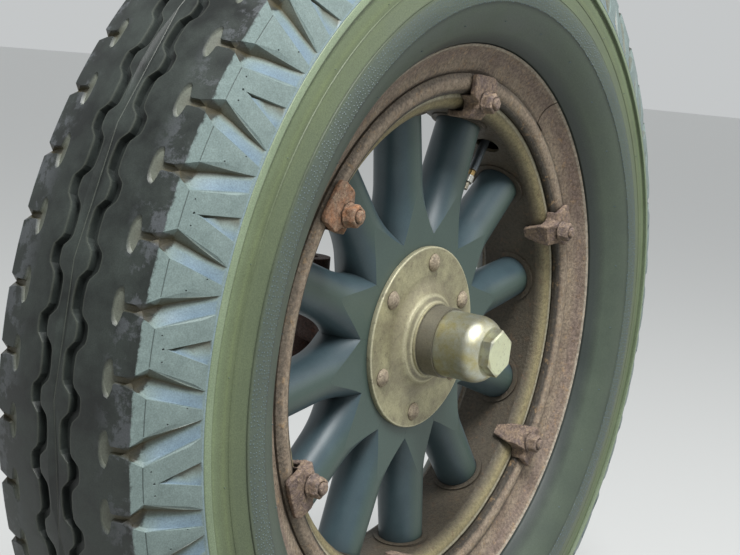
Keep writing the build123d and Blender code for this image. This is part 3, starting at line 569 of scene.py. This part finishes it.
# the zones grow lighter from the rim out to the shoulder's step: the rubber's green under a painted
# highlight; the pale blue rib at the step is a painted highlight
rubber_and_highlight_zones = [
    # radius where the zone starts and ends, soft edge, colours of its darker and lighter patches
    (200, 283, 6, "#2b3230", "#434c47"),
    (283, 313, 8, "#3f4a42", "#5a6656"),
    (313, 331.5, 2, "#46514a", "#606c5e"),
    (331.5, 348, 6, "#535f49", "#6d795a"),
    (348, 358, 10, "#5f6c4c", "#7c8962"),
    (358, 367.4, 10, "#6d7c5c", "#8a9a74"),
    (367.4, 374.2, 1, "#78886c", "#95a588"),
    (374.2, 376.4, 0.6, "#7c929e", "#9bb0ba"),
]
mottled = add_node(tree, "ShaderNodeMapRange", {
    "Value": clouds, "From Min": 0.38, "From Max": 0.62}).outputs[0]
tone = add_node(tree, "ShaderNodeMix", {0: mottled, 6: linear("#161b19"), 7: linear("#383f3b")},
                data_type="RGBA").outputs[2]
for start, end, soft, darker, lighter in rubber_and_highlight_zones:
    colour = add_node(tree, "ShaderNodeMix", {0: clouds, 6: linear(darker), 7: linear(lighter)},
                      data_type="RGBA").outputs[2]
    share = ring_share(tree, radius, start, end, soft)
    tone = add_node(tree, "ShaderNodeMix", {0: share, 6: tone, 7: colour}, data_type="RGBA").outputs[2]
ragged_mm = 5  # how far the bloom's edge wanders across the tyre
bloom_soft_mm = 0.5
ragged = add_node(tree, "ShaderNodeMath", {0: scuffs, 1: ragged_mm * MM, 2: -ragged_mm / 2 * MM},
                  operation="MULTIPLY_ADD").outputs[0]
ragged = add_node(tree, "ShaderNodeMath", {0: out, 1: ragged}, operation="ADD").outputs[0]
past_edge = add_node(tree, "ShaderNodeMapRange", {
    "Value": ragged, "From Min": (tread_half_width - bloom_soft_mm) * MM,
    "From Max": (tread_half_width + bloom_soft_mm) * MM}).outputs[0]
step_low, step_high = 374, 376  # radii between which the bloom gives way to the sidewall
above_step = add_node(tree, "ShaderNodeMapRange", {
    "Value": radius, "From Min": step_low * MM, "From Max": step_high * MM}).outputs[0]
bloom = add_node(tree, "ShaderNodeMath", {0: past_edge, 1: above_step}, operation="MULTIPLY").outputs[0]
bloom_tone = add_node(tree, "ShaderNodeMix", {0: scuffs, 6: linear("#637371"), 7: linear("#93a5a2")},
                      data_type="RGBA").outputs[2]
tone = add_node(tree, "ShaderNodeMix", {0: bloom, 6: tone, 7: bloom_tone}, data_type="RGBA").outputs[2]
worn_mm = 24  # patches on the tread beside its edge
worn = add_node(tree, "ShaderNodeTexNoise", {
    "Vector": place, "Scale": 1 / (worn_mm * MM), "Detail": 9, "Roughness": 0.72}).outputs["Fac"]
worn = add_node(tree, "ShaderNodeMapRange", {"Value": worn, "From Min": 0.5, "From Max": 0.56}).outputs[0]
worn_start, worn_full = 30, 10  # distance in from the tread's edge where they start and are thickest
beside_edge = add_node(tree, "ShaderNodeMapRange", {
    "Value": out, "From Min": (tread_half_width - worn_start) * MM,
    "From Max": (tread_half_width - worn_full) * MM, "To Max": 0.7}).outputs[0]
worn = add_node(tree, "ShaderNodeMath", {0: worn, 1: beside_edge}, operation="MULTIPLY").outputs[0]
crown_low, crown_high = 416, 422  # radii above which the rubber meets the road
on_crown = add_node(tree, "ShaderNodeMapRange", {
    "Value": radius, "From Min": crown_low * MM, "From Max": crown_high * MM}).outputs[0]
worn = add_node(tree, "ShaderNodeMath", {0: worn, 1: on_crown}, operation="MULTIPLY").outputs[0]
on_road = add_node(tree, "ShaderNodeMath", {0: 1, 1: past_edge}, operation="SUBTRACT").outputs[0]
worn = add_node(tree, "ShaderNodeMath", {0: worn, 1: on_road}, operation="MULTIPLY").outputs[0]
# painted light and dirt: blue is a painted reflection of the sky on the scoops' and recesses' lower sides,
# brown is painted shade on their upper sides and dirt in the stems, and the knurl's blue grey is a painted
# highlight
painted_light_and_dirt = add_node(tree, "ShaderNodeAttribute", attribute_name="painted_light_and_dirt").outputs["Fac"]
painted_sky_reflection = add_node(tree, "ShaderNodeMapRange", {"Value": painted_light_and_dirt, "To Max": 0.85}).outputs[0]
# painted shade: the rubber darkens where its surface is closed in, in grooves and hollows
painted_hollow_shade = add_node(tree, "ShaderNodeAmbientOcclusion", {"Distance": 9 * MM}, samples=6).outputs["AO"]
painted_hollow_shade = add_node(tree, "ShaderNodeMapRange", {
    "Value": painted_hollow_shade, "From Min": 0.3, "From Max": 0.8, "To Min": 0.5, "To Max": 0}).outputs[0]
painted_shade_and_dirt = add_node(tree, "ShaderNodeMapRange", {
    "Value": painted_light_and_dirt, "From Min": 0, "From Max": -1, "To Max": 0.85}).outputs[0]
# dust in the slots; above 0 it is also a painted highlight on the zigzag grooves' lips, below 0 painted
# shade in the vent pits, the creases and the grooves
dust_and_painted_light = add_node(tree, "ShaderNodeAttribute", attribute_name="dust_and_painted_light").outputs["Fac"]
dust_and_painted_highlight = add_node(tree, "ShaderNodeMapRange", {"Value": dust_and_painted_light, "To Max": 0.8}).outputs[0]
pitted = add_node(tree, "ShaderNodeMapRange", {"Value": dust_and_painted_light, "From Min": 0, "From Max": -1}).outputs[0]
layers = [
    (worn, "#5f6367"), (painted_sky_reflection, "#748ca0"), (painted_hollow_shade, "#23282a"), (painted_shade_and_dirt, "#5b5238"), (dust_and_painted_highlight, "#7c8073"),
    (pitted, "#1c201e"),
]
for share, colour in layers:
    tone = add_node(tree, "ShaderNodeMix", {0: share, 6: tone, 7: linear(colour)},
                    data_type="RGBA").outputs[2]
speckle = add_node(tree, "ShaderNodeMapRange", {
    "Value": grain, "From Min": 0.3, "From Max": 0.7, "To Min": 0.82, "To Max": 1.18}).outputs[0]
tone = add_node(tree, "ShaderNodeVectorMath", {0: tone, "Scale": speckle}, operation="SCALE").outputs[0]
rough = add_node(tree, "ShaderNodeMapRange", {
    "Value": clouds, "From Min": 0.3, "From Max": 0.7, "To Min": 0.4, "To Max": 0.58}).outputs[0]
bump = add_node(tree, "ShaderNodeBump", {
    "Height": grain, "Strength": 0.35, "Distance": 0.25 * MM}).outputs[0]
skin = add_node(tree, "ShaderNodeBsdfPrincipled", {
    "Base Color": tone, "Roughness": rough, "Normal": bump, "IOR": 1.5})
add_node(tree, "ShaderNodeOutputMaterial", {0: skin.outputs[0]})

wheel_centre = Vector((axle.x, axle.y + tyre_middle * MM, axle.z))
repeated_round(tyre, "tyre_wedge_ring", wedge_count, wedge_start, wheel_centre, tyre_rubber)
sharp_from = 17  # degrees between two faces from which their edge stays sharp
tyre.data.shade_smooth()
tyre.data.set_sharp_from_angle(angle=math.radians(sharp_from))
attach(tyre, "wheel")
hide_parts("tyre")

# Rim and side ring: rolled steel with its paint gone to a matt brown rust patina. Rings by radius paint
# highlights on the gutter's crest and the flange's edge, painted shade in the valley beside the crest
# and in the corner by the tyre, and dirt with painted shade in the gap to the felloe.
rim_painted_light_rings = [
    # radius where the ring starts and ends, soft edge, colour, strength
    (200, 233, 3, "#35312a", 0.92), (235, 243, 4, "#a39380", 0.65), (243.5, 250, 3, "#6e665a", 0.7),
    (262, 271, 8, "#776660", 0.55), (272.6, 276, 1, "#b3aa9a", 0.8),
]


def weathered_metal(name, tones, patch_mm, pit_mm, pit_depth, roughness, metallic=0.0, rings=(), grime_and_corner_shade=0.6,
                    grain=0.36):
    """Metal with two tones in large patches and a third in small ones, ochre rust where a piece has
    the attribute for it, a grain of pits, rings of another colour by their distance from the axle, which
    on some pieces are painted highlights and shade, and dirt with painted shade in its corners."""
    material = bpy.data.materials.new(name)
    material.use_nodes = True
    tree = material.node_tree
    tree.nodes.clear()
    place, _, radius = seen_from_axle(tree)
    patches = add_node(tree, "ShaderNodeTexNoise", {
        "Vector": place, "Scale": 1 / (patch_mm * MM), "Detail": 8, "Roughness": 0.65}).outputs["Fac"]
    patches = add_node(tree, "ShaderNodeMapRange", {
        "Value": patches, "From Min": 0.36, "From Max": 0.64}).outputs[0]
    spots_per_patch = 3.5
    spots = add_node(tree, "ShaderNodeTexNoise", {
        "Vector": place, "Scale": spots_per_patch / (patch_mm * MM), "Detail": 8,
        "Roughness": 0.8}).outputs["Fac"]
    spots = add_node(tree, "ShaderNodeMapRange", {
        "Value": spots, "From Min": 0.55, "From Max": 0.7}).outputs[0]
    tone = add_node(tree, "ShaderNodeMix", {0: patches, 6: linear(tones[0]), 7: linear(tones[1])},
                    data_type="RGBA").outputs[2]
    for start, end, soft, colour, strength in rings:
        share = ring_share(tree, radius, start, end, soft, strength)
        tone = add_node(tree, "ShaderNodeMix", {0: share, 6: tone, 7: linear(colour)},
                        data_type="RGBA").outputs[2]
    fresh = add_node(tree, "ShaderNodeAttribute", attribute_name="fresh_rust").outputs["Fac"]
    fresh = add_node(tree, "ShaderNodeMath", {0: fresh, 1: patches}, operation="MULTIPLY").outputs[0]
    for share, colour in ((spots, tones[2]), (fresh, "#b98256")):
        tone = add_node(tree, "ShaderNodeMix", {0: share, 6: tone, 7: linear(colour)},
                        data_type="RGBA").outputs[2]
    pits = add_node(tree, "ShaderNodeTexNoise", {
        "Vector": place, "Scale": 1 / (pit_mm * MM), "Detail": 6, "Roughness": 0.7}).outputs["Fac"]
    pit_share = add_node(tree, "ShaderNodeMapRange", {
        "Value": pits, "From Min": 0.28, "From Max": 0.6}).outputs[0]
    shade = add_node(tree, "ShaderNodeMapRange", {
        "Value": pits, "From Min": 0.36, "From Max": 0.64,
        "To Min": 1 - grain, "To Max": 1 + grain}).outputs[0]
    tone = add_node(tree, "ShaderNodeVectorMath", {0: tone, "Scale": shade}, operation="SCALE").outputs[0]
    # dirt and painted shade: the tone darkens where the piece is closed in
    corner = add_node(tree, "ShaderNodeAmbientOcclusion", {"Distance": 10 * MM}, samples=6).outputs["AO"]
    corner = add_node(tree, "ShaderNodeMapRange", {
        "Value": corner, "From Min": 0.3, "From Max": 0.85, "To Min": grime_and_corner_shade, "To Max": 0}).outputs[0]
    tone = add_node(tree, "ShaderNodeMix", {0: corner, 6: tone, 7: linear("#2a231d")},
                    data_type="RGBA").outputs[2]
    rough = add_node(tree, "ShaderNodeMapRange", {
        "Value": pits, "From Min": 0.3, "From Max": 0.7, "To Min": roughness + 0.12,
        "To Max": roughness - 0.08}).outputs[0]
    bump = add_node(tree, "ShaderNodeBump", {
        "Height": pit_share, "Strength": 0.8, "Distance": pit_depth * MM}).outputs[0]
    skin = add_node(tree, "ShaderNodeBsdfPrincipled", {
        "Base Color": tone, "Roughness": rough, "Metallic": metallic, "Normal": bump})
    add_node(tree, "ShaderNodeOutputMaterial", {0: skin.outputs[0]})
    return material


def dress(material, *nodes):
    """Gives CAD pieces a finish in place of their plain one."""
    for node in nodes:
        slots = frame["nodes"][node].data.materials
        slots.clear()
        slots.append(material)


rim_steel = weathered_metal(
    "rust_patina_rim_steel", ("#9d8e7b", "#7c6c5e", "#ac8d66"), patch_mm=30, pit_mm=3.0, pit_depth=0.6,
    roughness=0.6, rings=rim_painted_light_rings)
dress(rim_steel, "rim", "side_ring")

# Felloe: pressed steel that carries the rim and holds the spokes' ends. Its rolled lip is bare, and
# pale with a painted highlight; the slope behind the lip is painted lighter, yellow grey, as a painted
# highlight; and the trough behind that is olive brown with dirt and painted shade.
felloe_painted_light_rings = [
    (200, 216, 3, "#4a4336", 0.8), (217, 226, 6, "#a3986f", 0.7), (225.5, 231.5, 2, "#cfc9ae", 0.85),
]
felloe_steel = weathered_metal(
    "worn_felloe_steel", ("#504b44", "#5d5447", "#66513d"), patch_mm=30, pit_mm=3.0, pit_depth=0.5,
    roughness=0.55, rings=felloe_painted_light_rings, grime_and_corner_shade=0.75, grain=0.24)
dress(felloe_steel, "felloe")

# Spokes: turned hickory under brushed blue-grey paint. The flats round the hub that face outward have
# faded to green and are painted lighter as painted light, small chips show the grey undercoat, and
# dirt and painted shade darken them at the hub, the felloe and where they close on each other.
spoke_paint = bpy.data.materials.new("faded_paint_on_hickory")
spoke_paint.use_nodes = True
tree = spoke_paint.node_tree
tree.nodes.clear()
coords = add_node(tree, "ShaderNodeTexCoord").outputs
place = coords["Object"]
patch_mm = 34
chip_mm = 4.5
stroke_mm = 0.9
patches = add_node(tree, "ShaderNodeTexNoise", {
    "Vector": place, "Scale": 1 / (patch_mm * MM), "Detail": 6, "Roughness": 0.6}).outputs["Fac"]
tone = add_node(tree, "ShaderNodeMix", {0: patches, 6: linear("#36464e"), 7: linear("#51666c")},
                data_type="RGBA").outputs[2]
# painted light: faces that face outward are made greener and lighter, with a fade of the paint
facing = add_node(tree, "ShaderNodeSeparateXYZ", {0: coords["Normal"]}).outputs[1]
outward_fade_and_painted_light = add_node(tree, "ShaderNodeMapRange", {
    "Value": facing, "From Min": -0.8, "From Max": -0.99, "To Max": 0.75}).outputs[0]
chips = add_node(tree, "ShaderNodeTexNoise", {
    "Vector": place, "Scale": 1 / (chip_mm * MM), "Detail": 6, "Roughness": 0.7}).outputs["Fac"]
chips = add_node(tree, "ShaderNodeMapRange", {
    "Value": chips, "From Min": 0.72, "From Max": 0.75, "To Max": 0.5}).outputs[0]
for share, colour in ((outward_fade_and_painted_light, "#4a5c51"), (chips, "#a9aca2")):
    tone = add_node(tree, "ShaderNodeMix", {0: share, 6: tone, 7: linear(colour)},
                    data_type="RGBA").outputs[2]
strokes = add_node(tree, "ShaderNodeTexNoise", {
    "Vector": place, "Scale": 1 / (stroke_mm * MM), "Detail": 4}).outputs["Fac"]
shade = add_node(tree, "ShaderNodeMapRange", {
    "Value": strokes, "From Min": 0.3, "From Max": 0.7, "To Min": 0.9, "To Max": 1.1}).outputs[0]
tone = add_node(tree, "ShaderNodeVectorMath", {0: tone, "Scale": shade}, operation="SCALE").outputs[0]
# dirt and painted shade: darker where the spokes close in on the hub, the felloe and each other
corner = add_node(tree, "ShaderNodeAmbientOcclusion", {"Distance": 22 * MM}, samples=6).outputs["AO"]
corner = add_node(tree, "ShaderNodeMapRange", {
    "Value": corner, "From Min": 0.3, "From Max": 0.85, "To Min": 0.7, "To Max": 0}).outputs[0]
tone = add_node(tree, "ShaderNodeMix", {0: corner, 6: tone, 7: linear("#23292a")},
                data_type="RGBA").outputs[2]
bump = add_node(tree, "ShaderNodeBump", {
    "Height": strokes, "Strength": 0.3, "Distance": 0.15 * MM}).outputs[0]
skin = add_node(tree, "ShaderNodeBsdfPrincipled", {
    "Base Color": tone, "Roughness": 0.42, "Normal": bump, "IOR": 1.5})
add_node(tree, "ShaderNodeOutputMaterial", {0: skin.outputs[0]})
dress(spoke_paint, *[name for name in frame["nodes"] if name.startswith("spoke_")])

# Hub: a brass casting turned bright and long since dulled. Its flange and flare are a matt yellow grey
# with brown stains. Its edge, the flare's shoulder and the collar's step are rubbed pale and carry
# painted highlights, and darker rings paint shade in the valley by the collar and down the flare.
hub_painted_light_rings = [
    (30, 33.6, 0.8, "#77746a", 0.85), (34, 36.5, 1, "#cdc8a8", 0.8), (36.5, 39.5, 1.5, "#7c7766", 0.6),
    (40, 43, 1.5, "#cdc8a8", 0.7), (44, 58, 12, "#8b8370", 0.45), (84.6, 88, 1, "#d3cfb0", 0.75),
]
hub_brass = weathered_metal(
    "dulled_hub_brass", ("#b8b390", "#8f8971", "#756c5c"), patch_mm=24, pit_mm=1.8, pit_depth=0.18,
    roughness=0.44, metallic=0.4, rings=hub_painted_light_rings, grain=0.12)
dress(hub_brass, "hub")

# Hub cap: brass with worn nickel plate, the brightest metal on the wheel, with a painted highlight
# that makes it palest on the hexagon.
cap_brass = weathered_metal(
    "worn_nickel_over_brass", ("#c6c8ba", "#b9b184", "#97906c"), patch_mm=14, pit_mm=1.0, pit_depth=0.1,
    roughness=0.32, metallic=0.75, rings=[(-1, 19, 1.5, "#eef2cc", 0.9)], grime_and_corner_shade=0.5, grain=0.1)
dress(cap_brass, "hub_cap")

# Bearings: ground steel rings at the two ends of the hub's barrel, which carry the wheel on the
# spindle. A film of old grease dulls them.
bearing_steel = weathered_metal(
    "greased_bearing_steel", ("#8c8c88", "#75746e", "#5a5446"), patch_mm=12, pit_mm=0.6, pit_depth=0.03,
    roughness=0.32, metallic=1.0, grime_and_corner_shade=0.5)
dress(bearing_steel, "inner_bearing", "outer_bearing")

# Valve: a steel stem under dark oxide, which comes in through the felloe. Near its tip it has a
# bright nut and a brass neck.
valve_rings = [
    (160, 169.5, 0.6, "#a8a08c", 0.8), (169.5, 177, 0.6, "#c2c2ba", 0.9), (177, 183, 0.6, "#a98d55", 0.85),
]
valve_metal = weathered_metal(
    "oxidised_valve_metal", ("#4d555b", "#5f6468", "#8b8062"), patch_mm=6, pit_mm=0.8, pit_depth=0.05,
    roughness=0.4, metallic=0.7, rings=valve_rings)
dress(valve_metal, "valve_stem")

# Knuckle with its arm, and the plate and nuts behind the spokes: forged steel, rusted through the last
# of a dark red coat. The nuts pull the plate up against the spokes' feet.
knuckle_iron = weathered_metal(
    "rusty_forged_knuckle", ("#4a332c", "#33231f", "#6b3d2b"), patch_mm=24, pit_mm=2.4, pit_depth=0.4,
    roughness=0.7)
dress(knuckle_iron, "knuckle", "steering_arm", "rear_flange", "hub_nuts")

# Wedge clamps with their studs and nuts: drop-forged and never painted again, so rust has eaten their
# edges round. The colour goes from beige to purple brown over a few millimetres, and one is ochre.
fresh_rust_turn = 145  # degrees from +X towards +Z
fresh_rust_reach = 20  # degrees to either side of it
fresh_rust_share = 0.7
loose_corner_mm = 0.01


def forged(node, finish, voxel_mm, rounding, pit_mm, pit_depth, fresh_rust=0.0):
    """Stands in for a CAD piece with a copy whose corners are rounded and whose skin is pitted, as
    drop forging and a century of rust leave them."""
    worked = bmesh.new()
    worked.from_mesh(frame["nodes"][node].data)
    bmesh.ops.remove_doubles(worked, verts=worked.verts, dist=loose_corner_mm * MM)
    mesh = bpy.data.meshes.new(f"{node}_forged")
    worked.to_mesh(mesh)
    worked.free()
    piece = bpy.data.objects.new(f"{node}_forged", mesh)
    bpy.context.scene.collection.objects.link(piece)
    skin = piece.modifiers.new("even_skin", "REMESH")
    skin.mode = "VOXEL"
    skin.voxel_size = voxel_mm * MM
    rounded = piece.modifiers.new("rounded", "SMOOTH")
    rounded.factor = 0.5
    rounded.iterations = rounding
    grit = bpy.data.textures.new(f"{node}_grit", "CLOUDS")
    grit.noise_scale = pit_mm * MM
    grit.noise_depth = 3
    pitted = piece.modifiers.new("pitted", "DISPLACE")
    pitted.texture = grit
    pitted.texture_coords = "LOCAL"
    pitted.strength = pit_depth * MM
    pitted.mid_level = 0.6
    as_plain_mesh(piece)
    piece.data.materials.clear()
    piece.data.materials.append(finish)
    piece.data.shade_smooth()
    fresh = piece.data.attributes.new("fresh_rust", "FLOAT", "POINT")
    for k, corner in enumerate(piece.data.vertices):
        turn = math.degrees(math.atan2(corner.co.z - axle.z, corner.co.x - axle.x))
        fresh.data[k].value = fresh_rust if abs(turn - fresh_rust_turn) < fresh_rust_reach else 0.0
    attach(piece, "wheel")
    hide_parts(node)


clamp_iron = weathered_metal(
    "rusted_forged_clamp", ("#9b8672", "#736460", "#cbb38c"), patch_mm=8, pit_mm=2.6, pit_depth=0.6,
    roughness=0.72, grime_and_corner_shade=0.75)
forged("clamps", clamp_iron, voxel_mm=0.9, rounding=3, pit_mm=3.0, pit_depth=1.1,
       fresh_rust=fresh_rust_share)
nut_iron = weathered_metal(
    "rusted_nut_iron", ("#9b8672", "#766864", "#cfc19f"), patch_mm=6, pit_mm=2.2, pit_depth=0.5,
    roughness=0.7, grime_and_corner_shade=0.8)
forged("clamp_nuts", nut_iron, voxel_mm=0.55, rounding=3, pit_mm=2.2, pit_depth=0.7,
       fresh_rust=fresh_rust_share)
forged("clamp_studs", nut_iron, voxel_mm=0.55, rounding=2, pit_mm=1.8, pit_depth=0.5,
       fresh_rust=fresh_rust_share)

# Hub bolts: steel with domed heads that were upset hot, now under a pitted beige rust. They clamp the
# spokes' feet between the hub's flange and the plate behind.
bolt_iron = weathered_metal(
    "rusted_bolt_iron", ("#b2a48c", "#8f8272", "#c9c0a6"), patch_mm=6, pit_mm=2.2, pit_depth=0.45,
    roughness=0.68, grime_and_corner_shade=0.7)
forged("hub_bolts", bolt_iron, voxel_mm=0.7, rounding=2, pit_mm=2.4, pit_depth=0.8)

# Floor and light: a plain pale floor under the tyre, a strong soft lamp high up towards the front, a
# weaker one towards the rear, and an even pale surrounding. Looked at, or seen in a reflection, the
# floor is evenly pale, while the light that it throws back up is that of a greyer one.
floor_half = 40.0
floor_glow = 0.3  # its own light, only where it is looked at
floor_level = tyre_low.z
floor_mesh = bpy.data.meshes.new("floor")
floor_mesh.from_pydata(
    [(x * floor_half, y * floor_half, floor_level) for x, y in ((-1, -1), (1, -1), (1, 1), (-1, 1))],
    [], [(0, 1, 2, 3)])
floor = bpy.data.objects.new("floor", floor_mesh)
bpy.context.scene.collection.objects.link(floor)


def seen_ray(tree):
    """1 for a ray from the camera, in a reflection or through glass, and 0 for any other."""
    ray = add_node(tree, "ShaderNodeLightPath").outputs
    seen = add_node(tree, "ShaderNodeMath", {0: ray["Is Glossy Ray"], 1: ray["Is Transmission Ray"]},
                    operation="MAXIMUM").outputs[0]
    return add_node(tree, "ShaderNodeMath", {0: seen, 1: ray["Is Camera Ray"]},
                    operation="MAXIMUM").outputs[0]


pale_floor = bpy.data.materials.new("pale_studio_floor")
pale_floor.use_nodes = True
tree = pale_floor.node_tree
tree.nodes.clear()
seen = seen_ray(tree)
tone = add_node(tree, "ShaderNodeMix", {0: seen, 6: linear("#8c8d88"), 7: linear("#b7b8b6")},
                data_type="RGBA").outputs[2]
glow = add_node(tree, "ShaderNodeMath", {0: seen, 1: floor_glow}, operation="MULTIPLY").outputs[0]
skin = add_node(tree, "ShaderNodeBsdfPrincipled", {
    "Base Color": tone, "Roughness": 0.9, "Emission Color": linear("#eceff0"), "Emission Strength": glow})
add_node(tree, "ShaderNodeOutputMaterial", {0: skin.outputs[0]})
floor_mesh.materials.append(pale_floor)

world = bpy.data.worlds.new("studio")
bpy.context.scene.world = world
world.use_nodes = True
tree = world.node_tree
tree.nodes.clear()
around_light, around_seen = 0.36, 0.66  # strength on the wheel, and where it is looked at
strength = add_node(tree, "ShaderNodeMapRange", {
    "Value": seen_ray(tree), "To Min": around_light, "To Max": around_seen}).outputs[0]
sky = add_node(tree, "ShaderNodeBackground", {"Color": linear("#eceff0"), "Strength": strength})
add_node(tree, "ShaderNodeOutputWorld", {0: sky.outputs[0]})


def soft_lamp(name, place, width, power):
    """A square lamp that faces the axle."""
    data = bpy.data.lights.new(name, "AREA")
    data.size = width
    data.energy = power
    lamp = bpy.data.objects.new(name, data)
    bpy.context.scene.collection.objects.link(lamp)
    facing = (place - axle).to_track_quat("Z", "Y").to_matrix().to_4x4()
    lamp.matrix_world = Matrix.Translation(place) @ facing


soft_lamp("key_lamp", Vector((-1.0, -1.2, 2.7)), width=1.1, power=112)
soft_lamp("fill_lamp", Vector((1.6, -2.2, 1.4)), width=2.0, power=18)

bpy.context.scene.view_settings.view_transform = "Standard"
